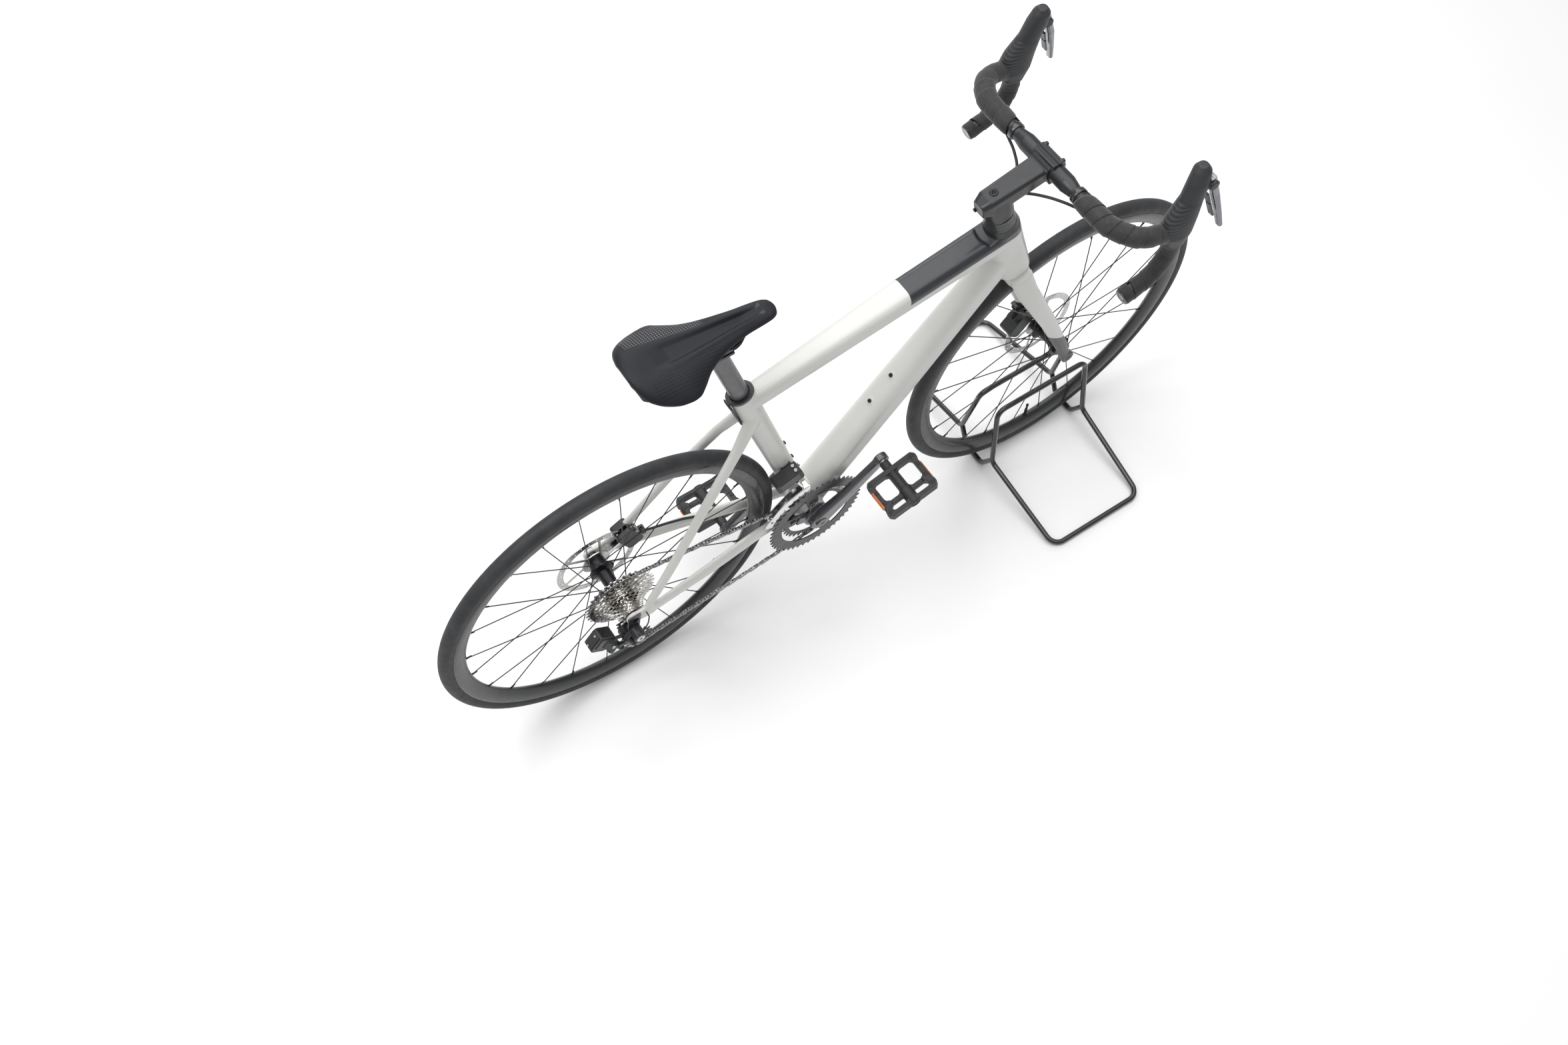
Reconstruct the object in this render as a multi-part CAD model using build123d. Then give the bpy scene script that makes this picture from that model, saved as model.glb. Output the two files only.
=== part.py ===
from build123d import *
import os
from math import acos, asin, atan2, cos, degrees, hypot, pi, radians, sin, sqrt

# Road bicycle held upright by a bent-wire display stand.
# +X is forward, +Y is to the rider's left, +Z is up.
# The origin is on the floor, midway between the two wheel axles.

# ---- driving dimensions, millimetres and degrees ----
wheel_radius = 339.0
tyre_width = 28.0
rim_outer_radius = 317.0
rim_bed_radius = 313.0
rim_inner_radius = 287.6
rim_width = 24.0
wheelbase = 990.0
front_hub_width = 100.0
rear_hub_width = 142.0
axle_radius = 6.0
spokes_per_wheel = 24
spoke_radius = 1.0

head_angle = 71.5
seat_angle = 73.5
fork_rake = 44.0
fork_length = 370.0
head_tube_length = 150.0
bracket_drop = 72.0
chainstay_length = 415.0
seat_tube_top = 728.0

crank_length = 172.5
crank_angle = 45.0
pedal_pitch = 16.0
chain_pitch = 12.7
outer_ring_teeth = 50
inner_ring_teeth = 34
ring_line = -41.0
outer_ring_line = -48.0
sprocket_teeth = (34, 30, 27, 24, 21, 19, 17, 15, 14, 13, 12, 11)
sprocket_spacing = 3.6
largest_sprocket_line = -27.4
chosen_sprocket = 1
tooth_width = 1.6

stand_wire_radius = 5.5
running_gap = 0.05

# ---- reference points ----
half_base = wheelbase / 2
rear_axle = Vector(-half_base, 0, wheel_radius)
front_axle = Vector(half_base, 0, wheel_radius)
bracket = Vector(-half_base + sqrt(chainstay_length**2 - bracket_drop**2), 0, wheel_radius - bracket_drop)
steer_up = Vector(-cos(radians(head_angle)), 0, sin(radians(head_angle)))
steer_forward = Vector(sin(radians(head_angle)), 0, cos(radians(head_angle)))
steer_foot = front_axle - steer_forward * fork_rake
crown_reach = sqrt(fork_length**2 - fork_rake**2)
seat_up = Vector(-cos(radians(seat_angle)), 0, sin(radians(seat_angle)))
side_to_side = Vector(0, 1, 0)


def on_steerer(distance):
    """Point on the steering axis, a distance above the crown race."""
    return steer_foot + steer_up * (crown_reach + distance)


def on_seat_line(height):
    """Point on the seat tube's axis at a height above the floor."""
    return bracket + seat_up * ((height - bracket.Z) / seat_up.Z)


# ---- building blocks ----
def rod(start, end, radius):
    start, end = Vector(start), Vector(end)
    return extrude(Plane(origin=start, z_dir=end - start) * Circle(radius), amount=(end - start).length)


def sleeve(start, end, outer, inner):
    start, end = Vector(start), Vector(end)
    reach = (end - start).normalized()
    return rod(start, end, outer) - rod(start - reach, end + reach, inner)


def cross_rod(x, z, y_start, y_end, radius):
    """Round bar that runs across the bicycle."""
    return rod((x, y_start, z), (x, y_end, z), radius)


def spun(centre, outline):
    """Ring about an axle, from (radius, distance across) corners."""
    face = make_face(Polyline(*outline, close=True))
    return revolve(Plane(origin=centre) * face, Axis(centre, side_to_side))


def side_face(outline):
    return make_face(Polyline(*outline, close=True))


def side_plate(face, y_low, y_high):
    """Face drawn in side view (x, z), given a thickness across the bicycle."""
    plane = Plane(origin=(0, y_high, 0), x_dir=(1, 0, 0), z_dir=(0, -1, 0))
    return extrude(plane * face, amount=y_high - y_low)


def oval(centre, along, width, depth):
    """Oval section: width across the bicycle, depth in the bicycle's own plane."""
    plane = Plane(origin=centre, x_dir=side_to_side, z_dir=along)
    return plane * Ellipse(width / 2, depth / 2)


def soft_box(centre, along, width, depth, corner):
    plane = Plane(origin=centre, x_dir=side_to_side, z_dir=along)
    return plane * RectangleRounded(width, depth, corner)


def blend(sections):
    """Tube through successive sections, joined pair by pair."""
    body = loft(sections[:2])
    for first, second in zip(sections[1:], sections[2:]):
        body += loft([first, second])
    return body


def bent_tube(points, radius, bends, bore=0.0):
    path = FilletPolyline(*points, radius=bends)
    ring = Circle(radius)
    if bore:
        ring = ring - Circle(bore)
    return sweep(Plane(origin=path @ 0, z_dir=path % 0) * ring, path=path)


def mirrored(shape):
    return mirror(shape, about=Plane.XZ)


def gear_face(teeth, first_angle, bore, cutouts=0, cutout_radii=(0, 0)):
    """Toothed disc in side view, centred on 0, with a roller seat at first_angle."""
    pitch = chain_pitch / (2 * sin(pi / teeth))
    step = 2 * pi / teeth
    corners = []
    for tooth in range(teeth):
        seat = first_angle + tooth * step
        for share, height in ((-0.20, -3.9), (0.20, -3.9), (0.41, 2.0), (0.59, 2.0)):
            angle = seat + share * step
            corners.append(((pitch + height) * cos(angle), (pitch + height) * sin(angle)))
    face = side_face(corners)
    if bore:
        face -= Circle(bore)
    if cutouts:
        window = Circle(cutout_radii[1]) - Circle(cutout_radii[0])
        for index in range(cutouts):
            window -= Rot(0, 0, 360 / cutouts * index) * Pos(pitch / 2, 0) * Rectangle(pitch, 7.0)
        face -= window
    return face


def pitch_radius(teeth):
    return chain_pitch / (2 * sin(pi / teeth))


# ---- wheels ----
def rim(axle):
    half = rim_width / 2
    outline = [
        (rim_inner_radius, -3.0), (rim_inner_radius, 3.0), (297.0, 10.0), (308.0, half),
        (rim_outer_radius, half - 0.3), (rim_outer_radius, 9.5), (rim_bed_radius, 9.5),
        (rim_bed_radius, -9.5), (rim_outer_radius, -9.5), (rim_outer_radius, 0.3 - half),
        (308.0, -half), (297.0, -10.0),
    ]
    return spun(axle, outline)


def tyre(axle):
    half = tyre_width / 2
    crown_centre = wheel_radius - half
    wall = 2.6
    lip = sqrt(half**2 - (crown_centre - rim_outer_radius) ** 2)
    outer = ThreePointArc((rim_outer_radius, lip), (wheel_radius, 0), (rim_outer_radius, -lip))
    inner = ThreePointArc((rim_bed_radius, -7.0), (wheel_radius - wall, 0), (rim_bed_radius, 7.0))
    edges = [
        outer,
        Polyline((rim_outer_radius, -lip), (rim_outer_radius, -9.5), (rim_bed_radius, -9.5), (rim_bed_radius, -7.0)),
        inner,
        Polyline((rim_bed_radius, 7.0), (rim_bed_radius, 9.5), (rim_outer_radius, 9.5), (rim_outer_radius, lip)),
    ]
    return revolve(Plane(origin=axle) * make_face(edges), Axis(axle, side_to_side))


def hub(axle, width, left_flange, right_flange, rotor_line, driver_end=None):
    """Hub shell with two flanges, a rotor seat on the left and open ends for the axle."""
    half = width / 2 - 0.2
    left_end = rotor_line + 6.0
    right_end = right_flange - 8.0 if driver_end is None else driver_end
    bore = axle_radius + running_gap
    outline = [
        (bore, -half), (9.0, -half), (9.0, right_end), (15.0, right_end),
        (15.0, right_flange - 1.5), (24.0, right_flange - 1.5), (24.0, right_flange + 1.5), (13.0, right_flange + 7.0),
        (13.0, left_flange - 7.0), (24.0, left_flange - 1.5), (24.0, left_flange + 1.5), (16.0, left_flange + 3.0),
        (16.0, left_end), (9.5, left_end), (9.5, half), (bore, half),
    ]
    return spun(axle, outline)


def spokes(axle, left_flange, right_flange):
    """Crossed spokes: each leaves the flange near a tangent and ends at the rim's inner face."""
    count = spokes_per_wheel // 2
    flange_radius = 21.0
    lead = radians(56.0)
    made = []
    for side, flange in ((1, left_flange), (-1, right_flange)):
        for index in range(count):
            outward = 1 if index % 2 else -1
            rim_angle = 2 * pi * (index + (0.25 if side > 0 else 0.75)) / count
            hub_angle = rim_angle + outward * lead
            start_y = flange + outward * 3.0
            start = axle + Vector(flange_radius * cos(hub_angle), start_y, flange_radius * sin(hub_angle))
            end_radius = rim_inner_radius + 1.0
            end = axle + Vector(end_radius * cos(rim_angle), side * 1.6, end_radius * sin(rim_angle))
            made.append(rod(start, end, spoke_radius))
    return Compound(children=made)


def rotor(axle, line, radius):
    """Brake disc: a perforated ring on six arms round a splined carrier."""
    track = Circle(radius) - Circle(radius - 13.0)
    for index in range(30):
        track -= Rot(0, 0, 12 * index) * Pos(radius - (4.5 if index % 2 else 8.5), 0) * Circle(1.9)
    face = track + (Circle(28.0) - Circle(16.0))
    for index in range(6):
        arm = Rot(0, 0, 60 * index) * (Pos(22.0, 0) * Rot(0, 0, 28) * Pos((radius - 24) / 2, 0)
                                       * Rectangle(radius - 26, 5.0))
        face += arm
    face = face & Circle(radius)
    return Pos(axle.X, 0, axle.Z) * side_plate(face, line - 0.9, line + 0.9)


front_rotor_line = front_hub_width / 2 - 15.2
rear_rotor_line = rear_hub_width / 2 - 15.2
front_flanges = (20.0, -31.0)
rear_flanges = (35.0, -18.0)
front_rotor_radius = 80.0
rear_rotor_radius = 80.0
cassette_core = 17.0
smallest_line = largest_sprocket_line - sprocket_spacing * (len(sprocket_teeth) - 1)


# ---- chain path: (centre x, centre z, radius, turning sense) of each toothed wheel ----
rear_line = largest_sprocket_line - sprocket_spacing * chosen_sprocket
guide_teeth = 11
tension_teeth = 13
guide_centre = Vector(rear_axle.X + 6.0, rear_line, 237.0)
cage_pivot = Vector(rear_axle.X - 6.0, 0, 229.0)
cage_length = 91.0


def tension_centre(swing):
    """Lower pulley, at an angle forward of straight down from the guide pulley."""
    return guide_centre + Vector(sin(swing), 0, -cos(swing)) * cage_length


def tangent(first, second):
    """Straight run that leaves one wheel and meets the next, by their turning senses."""
    (ax, az, ar, asense), (bx, bz, br, bsense) = first, second
    dx, dz = bx - ax, bz - az
    span = hypot(dx, dz)
    heading = atan2(dz, dx)
    lean = asin((asense * ar - bsense * br) / span)
    normal = heading + pi / 2 - lean
    nx, nz = cos(normal), sin(normal)
    start = (ax + asense * ar * nx, az + asense * ar * nz)
    end = (bx + bsense * br * nx, bz + bsense * br * nz)
    return start, end


def chain_circuit(swing):
    low = tension_centre(swing)
    wheels = [
        (rear_axle.X, rear_axle.Z, pitch_radius(sprocket_teeth[chosen_sprocket]), 1),
        (bracket.X, bracket.Z, pitch_radius(inner_ring_teeth), 1),
        (low.X, low.Z, pitch_radius(tension_teeth), 1),
        (guide_centre.X, guide_centre.Z, pitch_radius(guide_teeth), -1),
    ]
    runs = [tangent(wheels[i], wheels[(i + 1) % 4]) for i in range(4)]
    pieces = []
    for index in range(4):
        start, end = runs[index]
        pieces.append(("run", start, end, hypot(end[0] - start[0], end[1] - start[1])))
        cx, cz, radius, sense = wheels[(index + 1) % 4]
        leave = runs[(index + 1) % 4][0]
        enter_angle = atan2(end[1] - cz, end[0] - cx)
        sweep_angle = (enter_angle - atan2(leave[1] - cz, leave[0] - cx)) * sense % (2 * pi)
        pieces.append(("arc", (cx, cz, radius, sense), enter_angle, radius * sweep_angle))
    return pieces


def point_on(pieces, distance):
    for kind, first, second, length in pieces:
        if distance <= length:
            if kind == "run":
                share = distance / length
                return (first[0] + (second[0] - first[0]) * share, first[1] + (second[1] - first[1]) * share)
            cx, cz, radius, sense = first
            angle = second - sense * distance / radius
            return (cx + radius * cos(angle), cz + radius * sin(angle))
        distance -= length
    return point_on(pieces, distance)


def chain_points(swing, count):
    """Roller centres, one pitch apart, starting where the upper run leaves the sprocket."""
    pieces = chain_circuit(swing)
    distance = 0.0
    points = [point_on(pieces, distance)]
    for _ in range(count):
        low, high = distance + 0.8 * chain_pitch, distance + 1.2 * chain_pitch
        for _ in range(40):
            middle = (low + high) / 2
            place = point_on(pieces, middle)
            if hypot(place[0] - points[-1][0], place[1] - points[-1][1]) < chain_pitch:
                low = middle
            else:
                high = middle
        distance = (low + high) / 2
        points.append(point_on(pieces, distance))
    overrun = distance - sum(piece[3] for piece in pieces)
    return points, overrun


def close_chain():
    """Cage angle at which an even number of links just closes the circuit."""
    circuit = sum(piece[3] for piece in chain_circuit(radians(13.0)))
    count = 2 * round(circuit / chain_pitch / 2)
    low, high = radians(-25.0), radians(45.0)
    for _ in range(50):
        swing = (low + high) / 2
        if chain_points(swing, count)[1] < 0:
            low = swing
        else:
            high = swing
    return swing, count


cage_swing, link_count = close_chain()
rollers, _ = chain_points(cage_swing, link_count)
rollers = rollers[:link_count]
tension_place = tension_centre(cage_swing)


def seat_phase(centre, teeth):
    """Angle of a roller that is seated on this wheel, so its teeth fall between rollers."""
    wanted = pitch_radius(teeth)
    seated = [p for p in rollers if abs(hypot(p[0] - centre.X, p[1] - centre.Z) - wanted) < 0.05]
    middle = seated[len(seated) // 2]
    return atan2(middle[1] - centre.Z, middle[0] - centre.X)


def chain_line(x):
    """Sideways place of the chain: it crosses over on the runs between the toothed wheels."""
    run_rear, run_front = rear_axle.X + 55.0, bracket.X - 75.0
    share = (x - run_rear) / (run_front - run_rear)
    return rear_line + (ring_line - rear_line) * min(max(share, 0), 1)


def chain():
    """Roller chain: outer links are plates with pins, inner links are plates with rollers."""
    plate = SlotCenterToCenter(chain_pitch, 7.6)
    outer = side_plate(plate, 1.85, 2.5) + side_plate(plate, -2.5, -1.85)
    inner = side_plate(plate, 1.05, 1.75) + side_plate(plate, -1.75, -1.05)
    for end in (-chain_pitch / 2, chain_pitch / 2):
        outer += cross_rod(end, 0, -2.6, 2.6, 1.8)
        inner += cross_rod(end, 0, -1.05, 1.05, 3.6)
    for end in (-chain_pitch / 2, chain_pitch / 2):
        inner -= cross_rod(end, 0, -2.0, 2.0, 1.85)
    made = []
    for index, (x, z) in enumerate(rollers):
        next_x, next_z = rollers[(index + 1) % link_count]
        middle = ((x + next_x) / 2, chain_line((x + next_x) / 2), (z + next_z) / 2)
        turn = degrees(atan2(next_z - z, next_x - x))
        link = outer if index % 2 else inner
        made.append(Pos(*middle) * Rot(0, -turn, 0) * link)
    return Compound(children=made)


def cassette():
    made = []
    for index, teeth in enumerate(sprocket_teeth):
        line = largest_sprocket_line - sprocket_spacing * index
        phase = seat_phase(rear_axle, teeth) if index == chosen_sprocket else 0.12 * index
        tip = pitch_radius(teeth) - 7.5
        windows = 6 if tip > 34 else 0
        face = gear_face(teeth, phase, cassette_core, windows, (24.0, tip))
        made.append(side_plate(face, line - tooth_width / 2, line + tooth_width / 2))
        if index:
            made.append(side_plate(Circle(20.0) - Circle(cassette_core), line + tooth_width / 2,
                                   line + sprocket_spacing - tooth_width / 2))
    made.append(side_plate(Circle(15.6) - Circle(10.0), smallest_line - 2.6, smallest_line - tooth_width / 2))
    driver = Circle(cassette_core) - Circle(10.0)
    made.append(side_plate(driver, smallest_line - tooth_width / 2, largest_sprocket_line + tooth_width / 2))
    return Compound(children=[Pos(rear_axle.X, 0, rear_axle.Z) * piece for piece in made])


# ---- crank set ----
spider_turns = [crank_angle + turn for turn in (-115.0, -55.0, 55.0, 115.0)]


def crank_end(side):
    """Pedal eye: the right arm points up and forward, the left one the opposite way."""
    turn = radians(crank_angle)
    reach = crank_length * (1 if side < 0 else -1)
    return Vector(bracket.X + reach * cos(turn), side * 72.0, bracket.Z + reach * sin(turn))


def crank_arm(side):
    eye = crank_end(side)
    root = Vector(bracket.X, side * 59.0, bracket.Z)
    along = (eye - root).normalized()
    knee = root + (eye - root) * 0.45 + Vector(0, side * 2.0, 0)
    sections = [
        soft_box(root, along, 19.0, 42.0, 6.0),
        soft_box(knee, along, 15.0, 31.0, 6.0),
        soft_box(eye - along * 6, along, 13.0, 27.0, 6.0),
    ]
    arm = blend(sections)
    arm += cross_rod(bracket.X, bracket.Z, side * 50.0, side * 67.0, 22.0)
    arm += cross_rod(eye.X, eye.Z, side * 65.5, side * 78.5, 14.0)
    arm -= cross_rod(eye.X, eye.Z, side * 60.0, side * 85.0, 7.0 + running_gap)
    return arm


def crank_arm_right():
    """Drive-side arm with its hollow axle and the four-armed ring carrier."""
    body = crank_arm(-1)
    spider = Circle(27.0)
    for turn in spider_turns:
        spider += Rot(0, 0, turn) * Pos(32, 0) * Rectangle(60, 21)
    body += Pos(bracket.X, 0, bracket.Z) * side_plate(spider & Circle(46.0), -52.5, -42.0)
    body += Pos(bracket.X, 0, bracket.Z) * side_plate(spider & Circle(61.0), -47.0, -42.0)
    body -= cross_rod(bracket.X, bracket.Z, -46.5, -40.0, 28.0)
    body += cross_rod(bracket.X, bracket.Z, -52.0, 62.0, 12.0)
    return body - cross_rod(bracket.X, bracket.Z, -80.0, 80.0, 9.5)


def crank_arm_left():
    body = crank_arm(1)
    return body - cross_rod(bracket.X, bracket.Z, 40.0, 62.0, 12.0)


def chainrings():
    """Toothed rings with wide windows, tabs and bolts."""
    made = []
    inner_face = gear_face(inner_ring_teeth, seat_phase(bracket, inner_ring_teeth), 56.5)
    outer_face = gear_face(outer_ring_teeth, 0.0, 77.0)
    for turn in spider_turns:
        inner_face += Rot(0, 0, turn) * Pos(55.0, 0) * RectangleRounded(13.0, 23.0, 3.0)
        outer_face += Rot(0, 0, turn) * Pos(63.5, 0) * RectangleRounded(31.0, 25.0, 3.0)
    for face, line, thickness in ((inner_face, ring_line, tooth_width), (outer_face, outer_ring_line, 2.0)):
        face = Pos(bracket.X, bracket.Z) * face
        made.append(side_plate(face, line - thickness / 2, line + thickness / 2))
    for turn in spider_turns:
        angle = radians(turn)
        x, z = bracket.X + 55.0 * cos(angle), bracket.Z + 55.0 * sin(angle)
        made.append(cross_rod(x, z, -51.0, -49.0, 6.0))
        made.append(cross_rod(x, z, -42.0, -41.8, 5.0))
    return Compound(children=made)


def pedal_spindles():
    made = []
    for side in (-1, 1):
        eye = crank_end(side)
        spindle = cross_rod(eye.X, eye.Z, side * 64.0, side * 80.0, 7.0)
        spindle += cross_rod(eye.X, eye.Z, side * 79.0, side * 81.0, 9.0)
        spindle += cross_rod(eye.X, eye.Z, side * 81.0, side * 171.0, 5.0)
        made.append(spindle)
    return Compound(children=made)


def pedal(side):
    """Platform pedal: a windowed cage with waisted ends and studs, round a stepped barrel."""
    eye = crank_end(side)
    near, far, barrel_start = 98.0, 179.0, 82.0
    middle = side * (near + far) / 2
    half_length, half_width, height = 54.0, (far - near) / 2, 21.0
    quarter = [(half_length - 4.0, 20.0), (half_length, 26.0), (half_length, 34.0), (half_length - 6.0, half_width)]
    upper = quarter + [(-x, y) for x, y in reversed(quarter)]
    outline = Polyline(*(upper + [(-x, -y) for x, y in upper]), close=True)
    plan = make_face(outline)
    for x_step in (-1, 1):
        plan -= Pos(x_step * 26.0, -side * 10.5) * RectangleRounded(32.0, 44.0, 8.0)
        plan -= Pos(x_step * 25.0, side * 26.5) * RectangleRounded(30.0, 13.0, 5.0)
    body = Pos(eye.X, middle, eye.Z - height / 2) * extrude(plan, amount=height)
    trim = Pos(eye.X, middle, eye.Z + height / 2) * Box(half_length * 1.3, half_width * 1.5, 9.0)
    body -= trim
    body -= Pos(0, 0, -height) * trim
    body += cross_rod(eye.X, eye.Z, side * barrel_start, side * far, 9.5)
    body += cross_rod(eye.X, eye.Z, side * (near + 48.0), side * (far + 1.5), 12.5)
    for x_step in (-1, 1):
        for y_share in (-0.8, -0.3, 0.3, 0.8):
            for up in (-1, 1):
                stud = Pos(eye.X + x_step * 46.0, middle + y_share * half_width, eye.Z + up * (height / 2 + 0.8))
                body += stud * Box(6.0, 4.0, 1.8)
    body -= cross_rod(eye.X, eye.Z, side * (barrel_start - 1), side * (far - 6), 5.0 + running_gap)
    pitch = pedal_pitch if side < 0 else 0.0
    return Pos(eye.X, 0, eye.Z) * Rot(0, -pitch, 0) * Pos(-eye.X, 0, -eye.Z) * body


# ---- frame ----
def head_shell():
    sections = [
        soft_box(on_steerer(1.0), steer_up, 60.0, 66.0, 28.0),
        soft_box(on_steerer(70.0), steer_up, 50.0, 66.0, 23.0),
        soft_box(on_steerer(head_tube_length), steer_up, 58.0, 62.0, 27.0),
    ]
    return blend(sections)


def stay_pair(points):
    """Left and right stays through (point, width, height) stations."""
    sections = []
    for index, (point, width, height) in enumerate(points):
        ahead = Vector(points[min(index + 1, len(points) - 1)][0])
        behind = Vector(points[max(index - 1, 0)][0])
        sections.append(oval(point, ahead - behind, width, height))
    stay = blend(sections)
    return stay + mirrored(stay)


def frame():
    """One-piece moulded frame: three main tubes, head and bracket shells, and two pairs of stays."""
    down_end = on_steerer(58.0) - Vector(4, 0, 0)
    down_along = down_end - bracket
    body = head_shell()
    body += blend([
        soft_box(bracket, down_along, 66.0, 56.0, 20.0),
        soft_box(bracket + down_along * 0.5, down_along, 58.0, 60.0, 20.0),
        soft_box(down_end, down_along, 46.0, 50.0, 16.0),
    ])
    top_rear = on_seat_line(701.0)
    top_front = on_steerer(head_tube_length - 25.0)
    top_along = top_front - top_rear
    body += blend([
        soft_box(top_rear, top_along, 38.0, 40.0, 14.0),
        soft_box(top_rear + top_along * 0.6 + Vector(0, 0, 4.0), top_along, 52.0, 46.0, 16.0),
        soft_box(top_front, top_along, 56.0, 48.0, 16.0),
    ])
    body += blend([
        oval(bracket, seat_up, 58.0, 44.0),
        oval(on_seat_line(430.0), seat_up, 38.0, 42.0),
        oval(on_seat_line(seat_tube_top), seat_up, 36.0, 46.0),
    ])
    body += cross_rod(bracket.X, bracket.Z, -43.0, 43.0, 27.0)
    body += stay_pair([
        ((bracket.X - 8.0, 24.0, bracket.Z + 2), 13.0, 40.0),
        ((bracket.X - 78.0, 29.5, 284.0), 13.0, 38.0),
        ((-215.0, 37.0, 294.0), 15.0, 34.0),
        ((-320.0, 54.0, 311.0), 17.0, 30.0),
        ((-474.0, 75.0, 331.0), 10.0, 26.0),
    ])
    body += stay_pair([
        ((-196.0, 8.0, 664.0), 20.0, 36.0),
        ((-250.0, 28.0, 607.0), 16.0, 24.0),
        ((-334.0, 48.0, 509.0), 14.0, 22.0),
        ((-412.0, 63.0, 406.0), 13.0, 21.0),
        ((-474.0, 75.0, 336.0), 10.0, 22.0),
    ])
    inner = rear_hub_width / 2 + 0.2
    for side in (-1, 1):
        end = cross_rod(rear_axle.X, rear_axle.Z, side * inner, side * (inner + 8.0), 15.0)
        end += side_plate(side_face([(-484.0, 322.0), (-455.0, 320.0), (-455.0, 352.0), (-484.0, 352.0)]),
                          *sorted((side * inner, side * (inner + 8.0))))
        body += end
    hub_room = cross_rod(rear_axle.X, rear_axle.Z, -inner, inner, 34.0)
    body -= hub_room
    body -= cross_rod(rear_axle.X, rear_axle.Z, -90.0, 90.0, axle_radius)
    body -= cross_rod(bracket.X, bracket.Z, -50.0, 50.0, 20.5)
    body -= rod(on_steerer(-4.0), on_steerer(12.0), 26.0)
    body -= rod(on_steerer(head_tube_length - 12.0), on_steerer(head_tube_length + 6.0), 26.0)
    body -= rod(on_steerer(5.0), on_steerer(head_tube_length - 5.0), 20.0)
    body -= rod(on_steerer(-30.0), on_steerer(0.9), 60.0)
    body -= rod(on_steerer(head_tube_length), on_steerer(head_tube_length + 60.0), 46.0)
    post_bore = oval(on_seat_line(560.0), seat_up, 27.6, 33.6)
    body -= extrude(post_bore, amount=(seat_tube_top + 20 - 560.0) / seat_up.Z, dir=seat_up)
    for spot in bottle_bosses():
        body += rod(spot[0] - spot[1] * 6.0, spot[0] + spot[1] * 1.5, 5.5)
        body -= rod(spot[0] - spot[1] * 14.5, spot[0] + spot[1] * 3.0, 2.5)
    return body


def bottle_bosses():
    """Threaded bosses 64 apart, on the down tube's top face and the seat tube's front face."""
    down_along = (on_steerer(58.0) - Vector(4, 0, 0) - bracket).normalized()
    down_out = Vector(-down_along.Z, 0, down_along.X)
    seat_out = Vector(seat_up.Z, 0, -seat_up.X)
    spots = []
    for distance in (250.0, 314.0):
        spots.append((bracket + down_along * distance + down_out * 29.6, down_out))
    for height in (430.0, 430.0 + 64.0 * seat_up.Z):
        spots.append((on_seat_line(height) + seat_out * 20.6, seat_out))
    return spots


def bottom_bracket_bearings():
    made = []
    for side in (-1, 1):
        cup = sleeve((bracket.X, side * 24.0, bracket.Z), (bracket.X, side * 43.0, bracket.Z), 20.5, 12.0 + running_gap)
        cup += sleeve((bracket.X, side * 43.0, bracket.Z), (bracket.X, side * 45.5, bracket.Z), 23.0, 12.05)
        made.append(cup)
    return Compound(children=made)


def derailleur_hanger():
    outline = [(-509.0, 352.0), (-484.0, 352.0), (-488.0, 322.0), (-492.0, 302.0), (-500.0, 297.0),
               (-510.0, 302.0), (-512.0, 322.0)]
    inner = rear_hub_width / 2 + 8.2
    plate = side_plate(side_face(outline), -inner - 3.0, -inner)
    plate -= cross_rod(hanger_bolt.X, hanger_bolt.Z, -90.0, -60.0, 4.0)
    return plate - cross_rod(rear_axle.X, rear_axle.Z, -90.0, -60.0, axle_radius)


# ---- seat post and saddle ----
def seatpost():
    low, high = 600.0, 879.0
    post = extrude(oval(on_seat_line(low), seat_up, 27.0, 33.0), amount=(high - low) / seat_up.Z, dir=seat_up)
    head = on_seat_line(high + 4.0)
    post += cross_rod(head.X, head.Z, -17.0, 17.0, 15.0)
    return post


saddle_height = 941.0
rail_height = 903.0
rail_y = 22.0


def saddle_clamp():
    """Lower and upper rail cradles pulled together by two bolts."""
    centre = on_seat_line(893.0)
    cradle = Pos(centre.X, 0, rail_height - 5.5) * Box(44.0, 54.0, 5.0)
    upper = Pos(centre.X, 0, rail_height + 5.5) * Box(36.0, 54.0, 5.0)
    for y in (-rail_y, rail_y):
        groove = rod((centre.X - 40, y, rail_height), (centre.X + 40, y, rail_height), 3.5)
        cradle -= groove
        upper -= groove
    bolts = [rod((centre.X + x, 0, rail_height - 14.0), (centre.X + x, 0, rail_height + 11.0), 2.5) for x in (-14.0, 14.0)]
    return Compound(children=[cradle, upper] + bolts)


def saddle_rails():
    """Two wires that run from the nose socket to the tail sockets."""
    right = bent_tube([
        (-196.0, -7.0, 924.0), (-214.0, -9.0, 919.0), (-240.0, -rail_y, rail_height),
        (-322.0, -rail_y, rail_height), (-372.0, -40.0, 915.0), (-398.0, -44.0, 928.0),
    ], 3.5, [20.0, 25.0, 40.0, 30.0])
    return Compound(children=[right, mirrored(right)])


def saddle_sections(drop, trim):
    """Stations of the saddle from tail to nose: x, height of the crown, half width, depth."""
    stations = (
        (-424.0, 957.0, 30.0, 14.0), (-410.0, 956.0, 62.0, 22.0), (-385.0, 951.0, 74.0, 30.0),
        (-350.0, 945.0, 74.0, 34.0), (-310.0, 940.0, 60.0, 34.0), (-270.0, 938.0, 38.0, 32.0),
        (-230.0, 937.0, 24.0, 30.0), (-190.0, 933.0, 20.0, 28.0), (-161.0, 926.0, 13.0, 19.0),
    )
    made = []
    for x, crown, half, depth in stations:
        plane = Plane(origin=(x, 0, crown - drop - depth / 2), x_dir=(0, 1, 0), z_dir=(1, 0, 0))
        made.append(plane * RectangleRounded(2 * (half - trim), depth - 2, (depth - 2) * 0.42))
    return made


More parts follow.
